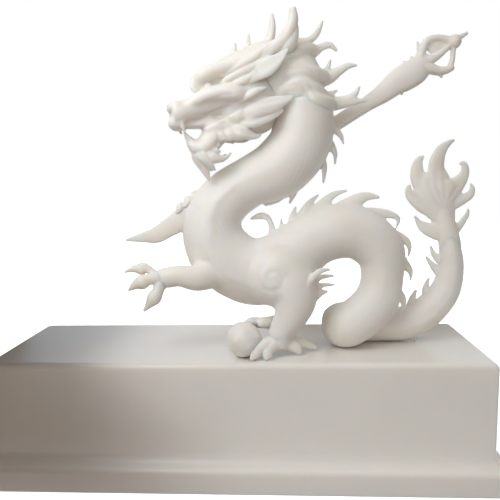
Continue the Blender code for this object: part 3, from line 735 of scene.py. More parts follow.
tuft = {
    "soft": (0.0009, 8),
    "fine": (0.0006, 4),
    "flat": 0.45,
    "stemFlat": 0.8,
    "palmFlat": 0.34,
    "across": 3,  # of stem and palm
    "locks": [
        [(47, 3, 33.6, 2.4), (44.8, 3, 34, 2.7), (42.4, 3.1, 34.6, 2.2), (40.4, 3.2, 35.6, 1.7),
         (39, 3.3, 36.9, 1), (37.8, 3.3, 38.8, 0.35)],
        [(44, 3, 40.4, 2.7), (40.4, 2.8, 42.2, 2.7), (37.7, 2.6, 43.9, 2.1), (36.1, 2.5, 45.5, 1.5),
         (35.7, 2.5, 47.1, 0.9), (36.1, 2.4, 48.2, 0.35)],
        [(43, 3, 43.6, 2.6), (40.4, 3.1, 47.2, 3), (38.5, 3.2, 50.7, 2.3), (38.3, 3.2, 53.4, 1.7),
         (38.9, 3.3, 55.3, 1.15), (40.2, 3.3, 56.4, 0.45)],
        [(45.4, 3, 44.6, 3), (44.7, 2.9, 48.7, 3.4), (43.7, 2.8, 52.5, 2.6), (44, 2.7, 55.5, 2.2),
         (45.1, 2.7, 58.1, 1.7), (46.9, 2.6, 59.9, 1), (48.7, 2.6, 60.9, 0.4)],
        [(47.4, 3, 44.8, 2.6), (49.5, 3.1, 47.5, 2.6), (51.1, 3.2, 49.2, 1.95), (52.1, 3.2, 51.3, 1.4),
         (52.1, 3.2, 53.1, 1.1), (51.5, 3.2, 54.1, 0.75), (50.4, 3.2, 53.8, 0.35)],
        [(47.6, 3, 42, 2.2), (50.4, 2.9, 43.2, 2), (52.3, 2.9, 43.9, 1.5), (53.7, 2.8, 44.9, 1.25),
         (54.3, 2.8, 46.4, 0.9), (53.8, 2.8, 48.2, 0.35)],
        [(48.8, 3, 33.4, 1.9), (50.4, 3, 35, 1.3), (52.1, 3, 37.2, 1), (53.2, 3, 39.2, 0.7),
         (53.3, 3, 40.8, 0.3)],
    ],
    "stem": [(48.7, 25, 2.9), (48.3, 30, 3.3), (47.5, 34, 3), (46.4, 38, 2.6), (45.6, 42, 2),
             (45.2, 46, 1.2)],
    "palm": [(47.5, 33, 3), (46.6, 37.2, 3.3), (45.2, 41, 5), (44.1, 45.4, 6.4), (43.1, 48.6, 5.4),
             (43.2, 51.4, 3.4)],
    "grooves": [
        [(45.8, 36), (43.4, 36.8), (41.2, 37.2)], [(44.6, 39.6), (41.4, 42.6), (38.4, 45.6)],
        [(44.4, 42.2), (42, 46.2), (41, 50)], [(45.2, 43), (43.6, 47.6), (43.4, 52.8)],
        [(45.9, 43.6), (46, 48.4), (46, 53.6)], [(47.2, 43.4), (48.8, 46), (50.8, 48.2)],
        [(48.4, 42.8), (51.2, 44.2), (53.4, 45.6)],
    ],
    "grooveWidth": 0.7,
    "grooveDepth": 0.16,
    "grooveLeast": -9.0,  # the tuft stands off the middle, and is grooved on both sides
}


def makeTuft():
    stem, palm = (inPlane(tuft[name], tuft["across"]) for name in ("stem", "palm"))
    soft = fuse([sweeps([stem], sides=24, steps=8, flat=tuft["stemFlat"]),
                 sweeps([palm], sides=24, steps=8, flat=tuft["palmFlat"]),
                 sweeps(tuft["locks"], sides=24, steps=8, flat=tuft["flat"])], *tuft["soft"])
    mesh = fuse([soft, sweeps(tuft["locks"], sides=24, steps=8, flat=tuft["flat"])], *tuft["fine"])
    etchBody(mesh, tuft["grooves"], tuft["grooveWidth"], tuft["grooveDepth"], tuft["grooveLeast"])
    addPiece("tail_tuft", mesh)


makeTuft()
print("tuft carved")


# Paws and the ball

paws = {
    "fine": (0.0006, 2),
    "nearFore": [
        [(-35, -10, 23.2, 2), (-37.6, -10, 23.2, 1.9)],
        [(-35.6, -9.8, 23.2, 1.9), (-38.4, -9.3, 23.9, 1.25), (-40.2, -9, 25.2, 1.15),
         (-41.5, -9, 25.8, 1.5), (-42.6, -9, 25.7, 1.8), (-44.6, -9, 25.7, 1.15), (-46.2, -9, 25.3, 0.65),
         (-47.6, -9, 24.7, 0.3)],
        [(-35.4, -10.4, 23, 2.2), (-38.2, -11.2, 23.2, 1.8), (-40.1, -11.8, 23, 1.7),
         (-41.2, -12, 22.6, 2.1), (-42.2, -12, 22.2, 2.1), (-43.8, -12, 21.5, 1.35),
         (-45.9, -12, 19.9, 0.3)],
        [(-35.6, -10.4, 23, 2.1), (-36.8, -11.2, 21.4, 1.85), (-37.4, -11.8, 19.7, 1.7),
         (-38.1, -12, 18.4, 2), (-38.9, -12, 17.3, 2), (-40.1, -12, 15.8, 1.2), (-41.8, -12, 13.8, 0.3)],
        [(-36, -8.2, 22.2, 1.7), (-37.6, -6.4, 19.8, 1.3), (-39.6, -6, 17.6, 0.4)],
    ],
    "farFore": [
        [(-30.6, 13.2, 37.6, 2.8), (-31.8, 12.6, 40, 2.5)],
        [(-30.4, 13, 41.4, 1.9), (-29.2, 11.8, 45.1, 1.7), (-29.3, 10.4, 46.2, 1.45),
         (-29.7, 9.4, 45.2, 1.15), (-30.2, 8.9, 44.2, 0.4)],
        [(-32, 13, 40.8, 1.9), (-31.5, 11.8, 43.6, 1.75), (-31.6, 10.4, 44.5, 1.5), (-32, 9.4, 43.5, 1.2),
         (-32.8, 8.9, 42.4, 0.4)],
        [(-33.6, 13, 39.6, 1.9), (-34, 11.8, 41.7, 1.65), (-34.2, 10.4, 42.6, 1.4), (-34.6, 9.4, 41.7, 1.1),
         (-35.6, 8.9, 40.6, 0.4)],
        [(-31, 12.6, 37.6, 1.6), (-33.2, 10.8, 34.8, 1.1), (-34.6, 9.2, 35.6, 0.4)],
    ],
    "nearHind": [
        [(-0.2, -9.2, 9.8, 2.6), (-2.1, -9.2, 6.8, 3.5), (-3.2, -9.3, 4, 3.4), (-3.2, -9.4, 2.4, 3)],
        [(-3, -9.4, 4.2, 2.4), (-5, -11.4, 3.6, 2), (-6.4, -12.9, 2.4, 1.5), (-6.7, -13.6, 1.4, 1.6),
         (-7.1, -14.6, 0.4, 0.5)],
        [(-4, -9.6, 4.2, 2.3), (-7.2, -12, 3.8, 1.8), (-9.4, -13.6, 2.6, 1.35), (-10, -14, 1.8, 1.5),
         (-11.2, -15, 0.5, 0.45)],
        [(-2, -8.8, 3.8, 2.2), (0.4, -9.4, 3, 1.9), (2, -9.8, 1.9, 1.5), (2.8, -10.2, 0.6, 0.6)],
        [(-1.4, -8.2, 4.2, 2), (3, -7.4, 3, 1.6), (6.6, -6.6, 1.6, 0.9), (7.8, -6.4, 0.9, 0.4)],
    ],
    "farHind": [
        [(2.2, 6, 10.4, 3.8), (-0.8, 1.6, 7.8, 2.9), (-2.8, -1, 7.4, 2.4)],
        [(-1.4, 0.6, 7.8, 2.4), (-4.6, -4, 8.4, 2), (-6.6, -7, 9.2, 1.6), (-8, -9, 9.6, 1.5),
         (-8.8, -10.2, 9.2, 0.8)],
        [(-4, -2.4, 7.6, 2.1), (-7.4, -5.6, 8.6, 1.5), (-9.6, -7.6, 9.6, 1.2), (-11.2, -8.8, 10, 1.1),
         (-12.6, -9.4, 9.6, 0.8), (-13.8, -9.8, 8.8, 0.35)],
        [(-4, -2.4, 7.6, 2.1), (-9, -5.2, 8.4, 1.5), (-12.2, -6.4, 8.6, 1), (-15.6, -7.6, 8.2, 0.5)],
    ],
    "ball": ((-13.3, -10.5, 5), (5, 5, 5)),
    "curlCount": 18,
    "curlTurn": 2.4,  # radians from one curl to the next round the ball
    "curlRadius": 2.2,
    "curlOut": 0.62,  # in the ball's radius
}


def ballCurls():
    centre, radii = Vector(paws["ball"][0]), paws["ball"][1]
    curls = []
    for index in range(paws["curlCount"]):
        up = 1 - 2 * (index + 0.5) / paws["curlCount"]
        aside = paws["curlTurn"] * index
        flat = math.sqrt(1 - up * up)
        way = Vector((math.cos(aside) * flat, math.sin(aside) * flat, up))
        curls.append(blob(centre + way * radii[0] * paws["curlOut"], [paws["curlRadius"]] * 3))
    return curls


def makePaws():
    for name in ("nearFore", "farFore", "nearHind", "farHind"):
        mesh = fuse([sweeps(paws[name], sides=16, steps=8)], *paws["fine"])
        flattenSoles(mesh)
        addPiece(name + "Paw", mesh)
    ball = fuse([blob(*paws["ball"]), *ballCurls()], *paws["fine"])
    flattenSoles(ball)
    addPiece("ball", ball)


makePaws()
print("paws and ball carved")


# Head

head = {
    "soft": (0.0011, 5),
    "fine": (0.0005, 4),
    "boneFlat": 1.3,
    "mouthFlat": 1.4,
    "earFlat": 0.42,
    "lockFlat": 0.6,
    "beardFlat": 0.8,
    "blobs": [
        ((12, 0, 4.2), (11, 7.8, 7.9)), ((20.5, 0, 7.4), (4.6, 4.8, 3.6)),
        ((13.6, 0, -2.2), (6.4, 6.4, 4.4)), ((8.4, 0, -1.6), (5.6, 5.8, 5.4)),
        ((32.3, 0, -0.2), (2, 3.5, 1.7)), ((31.6, 0, -4.2), (2.4, 3.2, 2.2)),
    ],
    "pairedBlobs": [
        ((31.9, 2.6, 0.1), (1.6, 1.3, 1.3)), ((25.6, 2.4, 6.5), (1.7, 1.9, 2.2)),
        ((24.9, 3, 9), (0.8, 0.8, 1.2)),
    ],
    "eye": ((23.2, 4.2, 4.9), (1.4, 1.2, 1.2)),
    "muzzle": [(15.5, 3, 5), (19.5, 2.2, 4.4), (23.5, 0.9, 3.7), (27.4, -0.6, 3.2), (30.6, -1.6, 3.4),
               (33, -2, 3.2)],
    "cheekRoll": [(28.6, 3, 0.4, 1.3), (24.6, 4.4, 2.4, 2), (20.6, 5.4, 3.4, 2.2), (16.4, 6.4, 3.2, 2.2),
                  (13.4, 6.4, 2, 1.2)],
    "jaw": [(12.5, -3.6, 3.4), (17, -5, 3.3), (20.6, -7.2, 3.2), (23.2, -9.8, 3.2), (25.6, -11, 2.5),
            (27.4, -9.8, 1.7), (28.6, -8.2, 0.9), (29.8, -6.6, 0.45)],
    "mouth": [(17, -4, 2.6), (21.6, -5.4, 2.9), (24.2, -6.2, 2.1)],
    "palate": [(22, -3.6, 2), (26.6, -4.2, 1.6), (30, -4.4, 1.3)],
    "crownRidge": [(22, 8.6, 2.4), (18.5, 9.8, 3.2), (15, 11.4, 3.6), (11, 12.6, 4), (7, 13.8, 4.6),
                   (3, 14.6, 4.4), (0, 14.4, 3.6)],
    "brow": [(25.8, 2.8, 6.5, 1.3), (24.6, 4.2, 7.9, 2), (20.4, 5.2, 9.4, 1.9), (15, 5.6, 10.6, 1.8),
             (10.4, 6, 11.6, 1.4), (6, 6.4, 13.2, 0.5)],
    "browStrands": [
        [(20.6, 5.4, 7.6, 0.5), (15.9, 6.7, 9.8, 1.1), (11.3, 6.9, 12.4, 1.1), (7.4, 7.4, 16, 0.3)],
        [(20, 5.6, 6.2, 0.5), (15.1, 7, 8.3, 1.2), (10.8, 7.4, 10.3, 1.1), (6, 7.8, 13.7, 0.3)],
        [(18.8, 6, 4.7, 0.5), (14, 7.4, 6.5, 1.2), (10.2, 7.8, 8.9, 0.5)],
    ],
    "fang": [(30.6, 2.6, -4, 0.9), (30.4, 2.7, -5.6, 0.6), (29.9, 2.7, -6.9, 0.3)],
    "ear": [(15.4, 5.6, 5.6, 0.8), (13.6, 7.2, 6.8, 1.7), (11, 8, 8.5, 2.5), (8.2, 8.8, 9.8, 2.6),
            (5.2, 9.5, 12, 1.6), (2.6, 10, 14.6, 0.35)],
    "earLobe": [(15.4, 6.2, 0.8, 0.5), (13.2, 7.6, 2.3, 1), (11, 8.2, 3.6, 0.9), (8.4, 8.4, 4.6, 0.35)],
    "crest": [
        [(16.6, 8, 1.8), (15.4, 12.8, 1.2), (14.7, 16.2, 0.7), (14.5, 18, 0.25)],
        [(12.8, 9, 2.2), (11.4, 14.2, 1.4), (10.7, 18.2, 0.7), (10.5, 20.4, 0.25)],
    ],
    "cheekLocks": [
        [(15.4, 3.6, -2, 1.4), (11.6, 6.1, -1.2, 3), (6.4, 7.9, 0.2, 2.3), (3, 8.8, 1.5, 1.2),
         (0.9, 9.3, 2.3, 0.35)],
        [(16, 3.4, -4, 1.2), (12.2, 6, -4, 2), (8.4, 7.2, -3.2, 1.6), (5.2, 8, -2, 0.9),
         (3.4, 8.3, -1.2, 0.3)],
        [(18.6, 2.6, -5.6, 1.2), (15, 5, -6.9, 1.8), (12, 5.2, -7.9, 1.2), (10, 5.2, -8, 0.6),
         (8.9, 5.2, -7.3, 0.3)],
        [(20.4, 2.6, -6.4, 1), (17.8, 4.2, -7.4, 1.6), (15.6, 4.4, -8.4, 0.9), (14.3, 4.4, -9.2, 0.3)],
        [(21.8, 2.6, -7.4, 1), (20, 4, -8, 1.3), (18.6, 4.2, -8.6, 0.7), (17.3, 4.2, -9.2, 0.3)],
        [(23.6, 2.4, -9, 1), (22, 3.2, -9.8, 1), (20.3, 3.4, -10.6, 0.3)],
        [(23.8, 2.4, -10.8, 1), (22, 3.2, -11.6, 1), (20.2, 3.4, -12.2, 0.3)],
    ],
    "beard": [
        [(26.2, 0, -10.6, 1.6), (25.6, 0, -13.2, 2.2), (24.2, 0, -16.6, 1.4), (23, 0, -20, 0.35)],
        [(26.4, 1, -10.8, 1.2), (25, 2, -13.2, 1.7), (23.2, 2.2, -15.4, 1.1), (21.6, 1.8, -17.2, 0.3)],
        [(25.2, 1.4, -11.4, 1.2), (22.6, 2.6, -13.4, 1.6), (20, 2.9, -14, 1), (18.4, 2.9, -13.4, 0.6),
         (17.2, 2.9, -12.4, 0.3)],
    ],
    "nearHorn": [(17, 3.8, 8.8, 1.4), (13.5, 4.8, 11.2, 2), (9.6, 5.6, 13, 2.1), (6, 6.4, 14.9, 2),
                 (3, 7.2, 17.4, 1.8), (1.2, 7.9, 20.2, 1.6), (0.5, 8.4, 22.8, 1.4), (0.8, 8.8, 25.6, 0.8)],
    "hornBack": [(5, 5.6, 13, 1.6), (1.4, 7, 16.4, 2.2), (-0.1, 7.8, 20, 1.2), (0.3, 8.3, 23.6, 0.5)],
    "farHorn": [(17, 3.8, 8.8, 1.4), (11, 5.4, 12.2, 2), (6.4, 6.4, 15.4, 1.9), (3.2, 7.2, 18.6, 1.7),
                (1.4, 7.9, 22, 1.4), (0.5, 8.5, 25.8, 1.05), (0.3, 8.9, 29.3, 0.4)],
    "hollows": ((33.2, 2.6, 0.6), (10.3, 8, 1.9)),  # nostril, and the dot under the ear
    "hollowRadius": 0.6,
    "hollowDepth": 0.2,
}

headStrokes = [  # width and depth, and the lines of each group
    (1.1, 0.25, [[(26.7, 4.9), (24.8, 4.5), (22.6, 5.1), (19.6, 6.2)]]),  # the eye's hollow
    (0.5, 0.35, [  # lips
        [(30.6, -4.8), (28.2, -4), (25.7, -3.6), (23.7, -2.4), (22.1, -1.6), (19.5, -0.6), (17, 0.1)],
        [(26.6, -6.7), (24, -5.1), (20.7, -3.5), (17.3, -1.9), (15, -0.5)]]),
    (0.5, 0.15, [  # chin, and the line under the eye
        [(29.2, -8.7), (27.6, -9.7), (26, -9.2)], [(25.4, 0.4), (22.7, 1.5), (20.2, 2.4), (17.4, 2.7)]]),
    (1.3, 0.4, [[(11.8, 8.4), (9, 9.8), (6, 11.6), (4, 13.2)]]),  # ear
    (0.6, 0.22, [  # beard and cheek locks
        [(28.7, -12.4), (27.1, -14.8), (25.2, -17)], [(27, -11.5), (24.8, -14.3), (23.5, -17)],
        [(22.4, -11.7), (20.6, -8.7), (18.9, -7.1)], [(15.3, -1), (11.3, 0.4), (6.4, 1), (2, 2)],
        [(15.6, -3.9), (12.3, -4.2), (7.6, -2.6)], [(20.5, -6.4), (16.5, -6.4), (13.2, -7.2), (9.9, -7.6)]]),
]


def makeHead():
    soft = [headBlob(*entry) for entry in head["blobs"]]
    for entry in head["pairedBlobs"]:
        soft += headBlobPair(*entry)
    soft += [
        sweeps([centreRows(head["muzzle"])], sides=32, flat=head["boneFlat"]),
        sweeps([centreRows(head["jaw"])], sides=32, flat=head["boneFlat"]),
        sweeps([centreRows(head["mouth"]), centreRows(head["palate"])], sides=24, flat=head["mouthFlat"]),
        sweeps([centreRows(head["crownRidge"])], sides=32, flat=head["boneFlat"]),
        sweeps(headPairs([head["cheekRoll"], head["brow"]]), sides=20),
    ]
    parts = [
        fuse(soft, *head["soft"]),
        *headBlobPair(*head["eye"]),
        sweeps(headPairs([head["fang"], head["earLobe"], *head["browStrands"]]), sides=16),
        sweeps([headRows(head["nearHorn"], near), headRows(head["hornBack"], near),
                headRows(head["farHorn"], far)], sides=20, steps=8),
        sweeps(headPairs([head["ear"]]), sides=20, flat=head["earFlat"]),
        sweeps([centreRows(rows) for rows in head["crest"]], sides=16, flat=head["lockFlat"]),
        sweeps(headPairs(head["cheekLocks"]), sides=20, flat=head["lockFlat"]),
        sweeps(headPairs(head["beard"]), sides=20, flat=head["beardFlat"]),
    ]
    mesh = fuse(parts, *head["fine"])
    for width, depth, strokes in headStrokes:
        etchHead(mesh, strokes, width, depth)
    for along, across, up in head["hollows"]:
        for hand in (near, far):
            press(mesh, onHead(along, across * hand, up), head["hollowRadius"], head["hollowDepth"])
    addPiece("head", mesh)


makeHead()
print("head carved")


# Mane: a soft mass over the nape, grooved in arches, with free locks round the crown

mane = {
    "soft": (0.0011, 6),
    "fine": (0.0006, 2),
    "sideFlat": 0.6,
    "softFlat": 0.8,
    "crownFlat": 0.75,
    "masses": [((2.2, 0, 78), (8, 7.8, 9.2)), ((2.4, 0, 75), (8.4, 8.8, 5.4)),
               ((-3.2, -1.6, 79.4), (7, 8, 8.4))],
    "crownAcross": (0, -0.8, 0.6, 0.8, -0.6, 0, 0),  # of each lock
    "crown": [
        [(-4, 83.4, 2.4), (-0.5, 86.9, 3.2), (2.2, 88.4, 2.2), (4.7, 89, 1.3), (6.7, 89.6, 1),
         (8.3, 91, 0.95), (9.4, 92.8, 0.7), (10.3, 94.8, 0.3)],
        [(0, 82, 3), (4.2, 84.8, 2.6), (7.6, 86, 1.5), (9.8, 87.3, 1.1), (12.2, 87.8, 0.9),
         (14.2, 86.1, 0.35)],
        [(6, 78, 1.6), (10, 79.9, 1.2), (11.6, 81.6, 0.8), (12.6, 84.2, 0.3)],
        [(2, 78, 3), (7.4, 78.8, 3), (11.8, 79.2, 2), (15, 81, 1.3), (17.6, 82.3, 0.9), (20.2, 82.4, 0.3)],
        [(6, 74.2, 1.6), (9.8, 74.2, 1.2), (12.4, 74.5, 0.8), (14.4, 75.4, 0.3)],
        [(3, 71.4, 3), (9, 71.4, 2.9), (13.6, 71.8, 2), (17.2, 72.7, 1.4), (19.4, 74.2, 0.9),
         (20.8, 76.4, 0.3)],
        [(12, 71, 1.6), (16.4, 71.8, 1.4), (20.2, 72.3, 0.9), (22.8, 72.4, 0.3)],
    ],
    "sides": [
        [(-5, 6, 81, 1), (-1, 7, 83.6, 1.8), (4, 4.6, 86.2, 2), (8, 1.4, 87.2, 1.4)],
        [(-4, 7, 77.4, 1), (1, 7.6, 79.4, 1.8), (6.4, 5.6, 79.6, 2.2), (11.6, 1.8, 79.2, 1.4)],
        [(-2, 8, 74.4, 0.9), (3, 8.4, 76.4, 1.6), (8, 6, 74.6, 1.9), (12.4, 2, 72.6, 1.4)],
        [(4.2, 7.4, 74.2, 1.2), (7.2, 7.2, 72, 2), (10.4, 5.4, 71, 2.2), (13.2, 2.2, 71, 1.8)],
        [(-4, 6.6, 72.6, 1.2), (-1.6, 6.9, 74.4, 2), (1, 7.1, 75.4, 2.3), (3.6, 7.1, 75.4, 2.4),
         (5.8, 7, 73.8, 2), (7, 7, 71.6, 1.5), (7.7, 7.1, 70, 1), (8, 7.1, 68.8, 0.35)],
    ],
    "arches": [
        [(-0.4, 75.1), (1.8, 75.9), (3.9, 75.5), (5.3, 73.8), (6.4, 72)],
        [(-0.6, 77), (1.8, 77.9), (3.9, 77.7), (6, 76.4), (7.4, 74.2)],
        [(-0.4, 79.2), (2.4, 80.5), (5.6, 80.3), (8.1, 78.7)],
        [(-1.4, 81.6), (1.4, 83), (4.6, 83.2), (7.6, 82.6)],
        [(-2.4, 84), (0.4, 85.2), (3.4, 85.4), (6.6, 85.4)],
    ],
    "archWidth": 0.6,
    "archDepth": 0.2,
}


def makeMane():
    sides = [handed(lock, hand) for lock in mane["sides"] for hand in (near, far)]
    crown = [inPlane(lock, across) for lock, across in zip(mane["crown"], mane["crownAcross"])]
    soft = fuse([*(blob(*mass) for mass in mane["masses"]), sweeps(sides, sides=20, flat=mane["sideFlat"]),
                 sweeps(crown, sides=24, steps=8, flat=mane["softFlat"])], *mane["soft"])
    mesh = fuse([soft, sweeps(crown, sides=24, steps=8, flat=mane["crownFlat"])], *mane["fine"])
    etchBody(mesh, mane["arches"], mane["archWidth"], mane["archDepth"])
    addPiece("mane", mesh)


makeMane()
print("mane carved")


# Sword

sword = {
    "across": 10.2,  # the place across, which the rows of blade, guard, grip, bars and horns leave out
    "bladeFine": (0.0007, 1),
    "bladeFlat": 0.34,
    "hiltFine": (0.0005, 3),
    "gripFlat": 0.6,
    "barFlat": 1.2,
    "blade": [(6, 61.5, 3), (-8, 54.4, 3.6), (-20, 48.2, 3.8), (-29, 41.8, 3.7), (-34.4, 38.2, 3.5),
              (-38.4, 35.8, 3), (-42.6, 33.6, 2.7), (-47, 32.9, 1.7), (-52.8, 32, 0.45)],
    "guard": [(4, 66.8, 1.2), (6.6, 62.4, 1.6), (9, 58, 1.2)],
    "grip": [(4, 60.6, 2.3), (15, 67.2, 2.3), (24, 72.6, 2.3), (29.2, 75.8, 2.9), (33.1, 78.8, 3.6),
             (35.4, 80.1, 4), (38.8, 82, 4), (41, 84, 3.4), (42.6, 85.2, 2.4), (43.6, 85.8, 1.2)],
    "bars": [
        [(40.2, 86, 1.4), (41.2, 89, 1.3), (42.6, 91, 1.05), (45.2, 91.6, 0.95), (47.6, 91.2, 1),
         (49.8, 90.4, 1.2)],
        [(42, 84.8, 1.5), (44.4, 85.8, 1.3), (46.4, 87, 1), (48.2, 88.6, 0.9), (50, 90, 1)],
        [(50, 89.4, 0.9), (50, 87.4, 0.75), (49.9, 85.6, 0.75), (49.5, 83.8, 0.85), (49.2, 82.6, 1)],
        [(41.6, 83.2, 1.8), (43.8, 82.6, 1.6), (45.8, 82, 1.35), (47.8, 82.1, 1.2), (49.4, 82.6, 1.05),
         (50.4, 82.5, 0.5)],
    ],
    "horns": [
        [(40.4, 87, 1), (39.8, 89, 0.6), (39.4, 90.8, 0.3)], [(41.6, 89.6, 1), (41.5, 91.4, 0.5)],
        [(36, 83.8, 0.9), (35.4, 85.2, 0.35)], [(38.2, 85, 0.9), (37.6, 86.5, 0.35)],
        [(34.4, 77.2, 1), (35.2, 75.3, 0.35)], [(46, 81.6, 0.9), (46.9, 80, 0.35)],
        [(13, 66.6, 1.5), (15.4, 69.2, 0.8), (16.8, 70.2, 0.4)],
        [(51.2, 91.2, 0.85), (52.8, 92, 0.7), (54.1, 92.8, 0.45)],
    ],
    "web": ((45.6, 10.6, 89), (3.4, 0.7, 2.4)),
    "knob": ((50.3, 10.2, 90.3), (2, 2.2, 2.1)),
}


def swordSweeps(rowsList, **profile):
    return sweeps([inPlane(rows, sword["across"]) for rows in rowsList], **profile)


def makeSword():
    blade = fuse([swordSweeps([sword["blade"]], sides=24, steps=8, flat=sword["bladeFlat"])],
                 *sword["bladeFine"])
    addPiece("sword_blade", blade)
    hilt = fuse([swordSweeps([sword["guard"]], sides=16),
                 swordSweeps([sword["grip"]], sides=32, flat=sword["gripFlat"]),
                 swordSweeps(sword["bars"], sides=20, steps=8, flat=sword["barFlat"]),
                 swordSweeps(sword["horns"]), blob(*sword["knob"]), blob(*sword["web"])],
                *sword["hiltFine"])
    addPiece("sword_hilt", hilt)


makeSword()
print("sword carved")


# Plinth

plinth = {
    "length": 0.402,
    "depth": 0.118,
    "top": 0.101,
    "ledgeHeight": 0.020,
    "ledgeProud": 0.0115,
    "cornerRound": 0.003,
    "topRound": 0.0045,
    "ledgeRound": 0.004,
    "footRound": 0.001,
    "cove": 0.0075,  # the hollow between block and ledge
    "segments": 8,
    "support": 0.0012,  # width of the loops that keep the flat faces flat
    "least": 1e-6,  # rows nearer to each other than this are one
}


def arcSteps(start, end):
    count = plinth["segments"]
    return [math.radians(start + (end - start) * step / count) for step in range(count + 1)]


def roundEdge(outset, height, radius, start, end):
    # the outset and height are the middle of the rounding
    turns = arcSteps(start, end)
    return [(outset + radius * math.cos(turn), height + radius * math.sin(turn)) for turn in turns]


def plinthProfile():
    # outset from the block's sides and height, from the underside to the top
    proud, ledge, top = plinth["ledgeProud"], plinth["ledgeHeight"], plinth["top"]
    foot, rim, cove, edge = plinth["footRound"], plinth["ledgeRound"], plinth["cove"], plinth["topRound"]
    loop = plinth["support"]
    rows = [(proud - foot - loop, 0.0)]
    rows += roundEdge(proud - foot, foot, foot, -90, 0)
    rows += [(proud, foot + loop), (proud, ledge - rim - loop)]
    rows += roundEdge(proud - rim, ledge - rim, rim, 0, 90)
    rows += roundEdge(cove, ledge + cove, cove, -90, -180)
    rows += [(0.0, ledge + cove + loop), (0.0, top - edge - loop)]
    rows += roundEdge(-edge, top - edge, edge, 0, 90)
    rows.append((-edge - loop, top))
    kept = [rows[0]]
    for row in rows[1:]:
        if math.dist(row, kept[-1]) > plinth["least"]:
            kept.append(row)
    return kept


def plinthRing(outset, height):
    radius = plinth["cornerRound"] + max(outset, 0.0)
    across = plinth["length"] / 2 + outset - radius
    back = plinth["depth"] / 2 + outset - radius
    ring = []
    for signX, signY, start in ((1, 1, 0), (-1, 1, 90), (-1, -1, 180), (1, -1, 270)):
        for turn in arcSteps(start, start + 90):
            ring.append((signX * across + radius * math.cos(turn),
                         signY * back + radius * math.sin(turn), height))
    return ring


def makePlinth():
    bm = bmesh.new()
    rings = [[bm.verts.new(spot) for spot in plinthRing(*row)] for row in plinthProfile()]
    for low, high in zip(rings, rings[1:]):
        for index, start in enumerate(low):
            beside = (index + 1) % len(low)
            bm.faces.new((start, low[beside], high[beside], high[index]))
    bm.faces.new(reversed(rings[0]))
    bm.faces.new(rings[-1])
    addPiece("plinth_cast", meshFrom("plinth", bm), "plinth", plinthResin)


makePlinth()
print("plinth cast")


# Studio

studio = {
    "view": "Standard",
    "skyFrom": (-0.35, -0.15, 0.93),  # the sky is brightest this way
    "skyLow": (0.108, 0.083, 0.054),
    "skyHigh": (0.66, 0.655, 0.65),
    "lights": [  # name, place, aim, size, power, spread in degrees, colour
        ("key", (-0.3, -0.42, 0.6), (-0.02, 0, 0.26), 0.34, 1.8, 180, (0.98, 1, 1.03)),
        ("head", (-0.14, -0.48, 0.42), (-0.04, 0, 0.36), 0.26, 0.045, 42, (0.99, 1, 1.02)),
    ],
    "floorTint": (0.92, 0.92, 0.92),
    "white": (1, 1, 1),
    "black": (0, 0, 0),
    "domeRadius": 3,
    "cards": [  # corners, and what the card gives off
        ([(-0.9, -0.2, 0), (-0.08, -0.15, 0), (-0.12, -0.15, 0.05), (-0.9, -0.2, 0.16)],
         (0.25, 0.185, 0.135)),
        ([(-0.3, -0.3, 0), (-0.3, 0.2, 0), (-0.3, 0.2, 0.19), (-0.3, -0.3, 0.19)],
         (0.25, 0.185, 0.135)),
        ([(-0.6, -0.24, 0.2), (-0.1, -0.24, 0.18), (-0.12, -0.18, 0.18), (-0.13, -0.143, 0.18),
          (-0.135, -0.108, 0.18), (-0.14, -0.05, 0.18), (-0.13, 0.1, 0.18), (-0.6, 0.2, 0.2)],
         (0.03, 0.03, 0.03)),
        ([(-0.6, -0.125, 0), (-0.02, -0.115, 0), (-0.08, -0.115, 0.035), (-0.6, -0.125, 0.07)],
         (0.14, 0.085, 0.065)),
        ([(0.03, 0.076, 0.103), (0.24, 0.076, 0.103), (0.24, 0.076, 0.12), (0.03, 0.076, 0.12)],
         (0.05, 0.045, 0.04)),
    ],
    "wall": [(-1.4, 1.2, -0.1), (1.4, 1.2, -0.1), (1.4, 1.2, 0.7), (-1.4, 1.2, 0.7)],
    "wallTint": (1.05, 1.15, 1.28),
}


def aimed(item, place, target):
    item.location = place
    look = Vector(target) - Vector(place)
    item.rotation_euler = look.to_track_quat("-Z", "Y").to_euler()


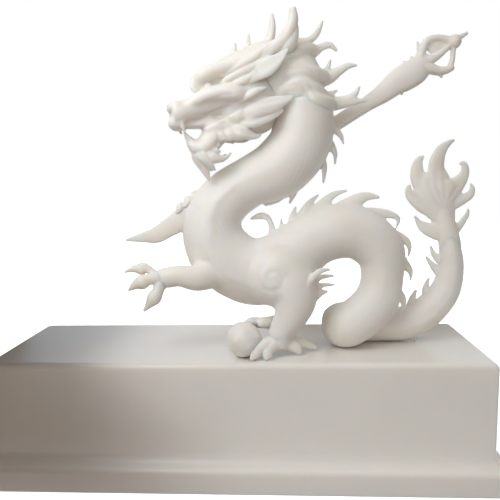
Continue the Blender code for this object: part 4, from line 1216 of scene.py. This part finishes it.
def stageObject(name, bm, colour, glow, hidden):
    material = bpy.data.materials.new(name)
    material.use_nodes = True
    fill(material.node_tree.nodes["Principled BSDF"],
         {"Base Color": (*colour, 1), "Roughness": 0.9, "Specular IOR Level": 0.0,
          "Emission Color": (*glow, 1), "Emission Strength": 1.0})
    mesh = meshFrom(name, bm)
    mesh.materials.append(material)
    item = addItem(name, mesh)
    for ray in hidden:
        setattr(item, "visible_" + ray, False)


def makeCard(name, corners, glow, hidden):
    bm = bmesh.new()
    bm.faces.new([bm.verts.new(corner) for corner in corners])
    stageObject(name, bm, studio["black"], glow, hidden)


def makeSky():
    world = bpy.data.worlds.new("studio")
    world.use_nodes = True
    tree = world.node_tree
    brightest = Vector(studio["skyFrom"]).normalized()
    low, high = (*studio["skyLow"], 1), (*studio["skyHigh"], 1)
    way = addNode(tree, "ShaderNodeTexCoord")
    toward = addNode(tree, "ShaderNodeVectorMath", {1: brightest}, operation="DOT_PRODUCT")
    height = addNode(tree, "ShaderNodeMapRange", {"From Min": -1.0})
    fade = addNode(tree, "ShaderNodeMix", {"A": low, "B": high}, data_type="RGBA")
    link(tree, (way, "Generated", toward, 0), (toward, "Value", height, "Value"),
         (height, "Result", fade, "Factor"), (fade, "Result", tree.nodes["Background"], "Color"))
    bpy.context.scene.world = world


def makeStudio():
    bpy.context.scene.view_settings.view_transform = studio["view"]
    makeSky()
    for name, place, target, size, power, spread, colour in studio["lights"]:
        light = bpy.data.lights.new(name, "AREA")
        light.energy = power
        light.color = colour
        light.size = size
        light.spread = math.radians(spread)
        aimed(addItem(name, light), place, target)

    bm = bmesh.new()
    bmesh.ops.create_grid(bm, x_segments=2, y_segments=2, size=studio["domeRadius"])
    stageObject("floor", bm, studio["floorTint"], studio["white"], ("diffuse",))
    bm = bmesh.new()
    bmesh.ops.create_uvsphere(bm, u_segments=48, v_segments=24, radius=studio["domeRadius"])
    unseen = ("diffuse", "transmission", "volume_scatter", "shadow")
    stageObject("dome", bm, studio["black"], studio["white"], ("glossy", *unseen))
    # dark warm cards that shade the plinth's left end and the back of its top
    for index, (corners, glow) in enumerate(studio["cards"]):
        makeCard("card" + str(index), corners, glow, ("camera",))
    # the pale wall behind, seen only where the resin mirrors it
    makeCard("wall", studio["wall"], studio["wallTint"], ("camera", *unseen))


makeStudio()
print("studio lit")
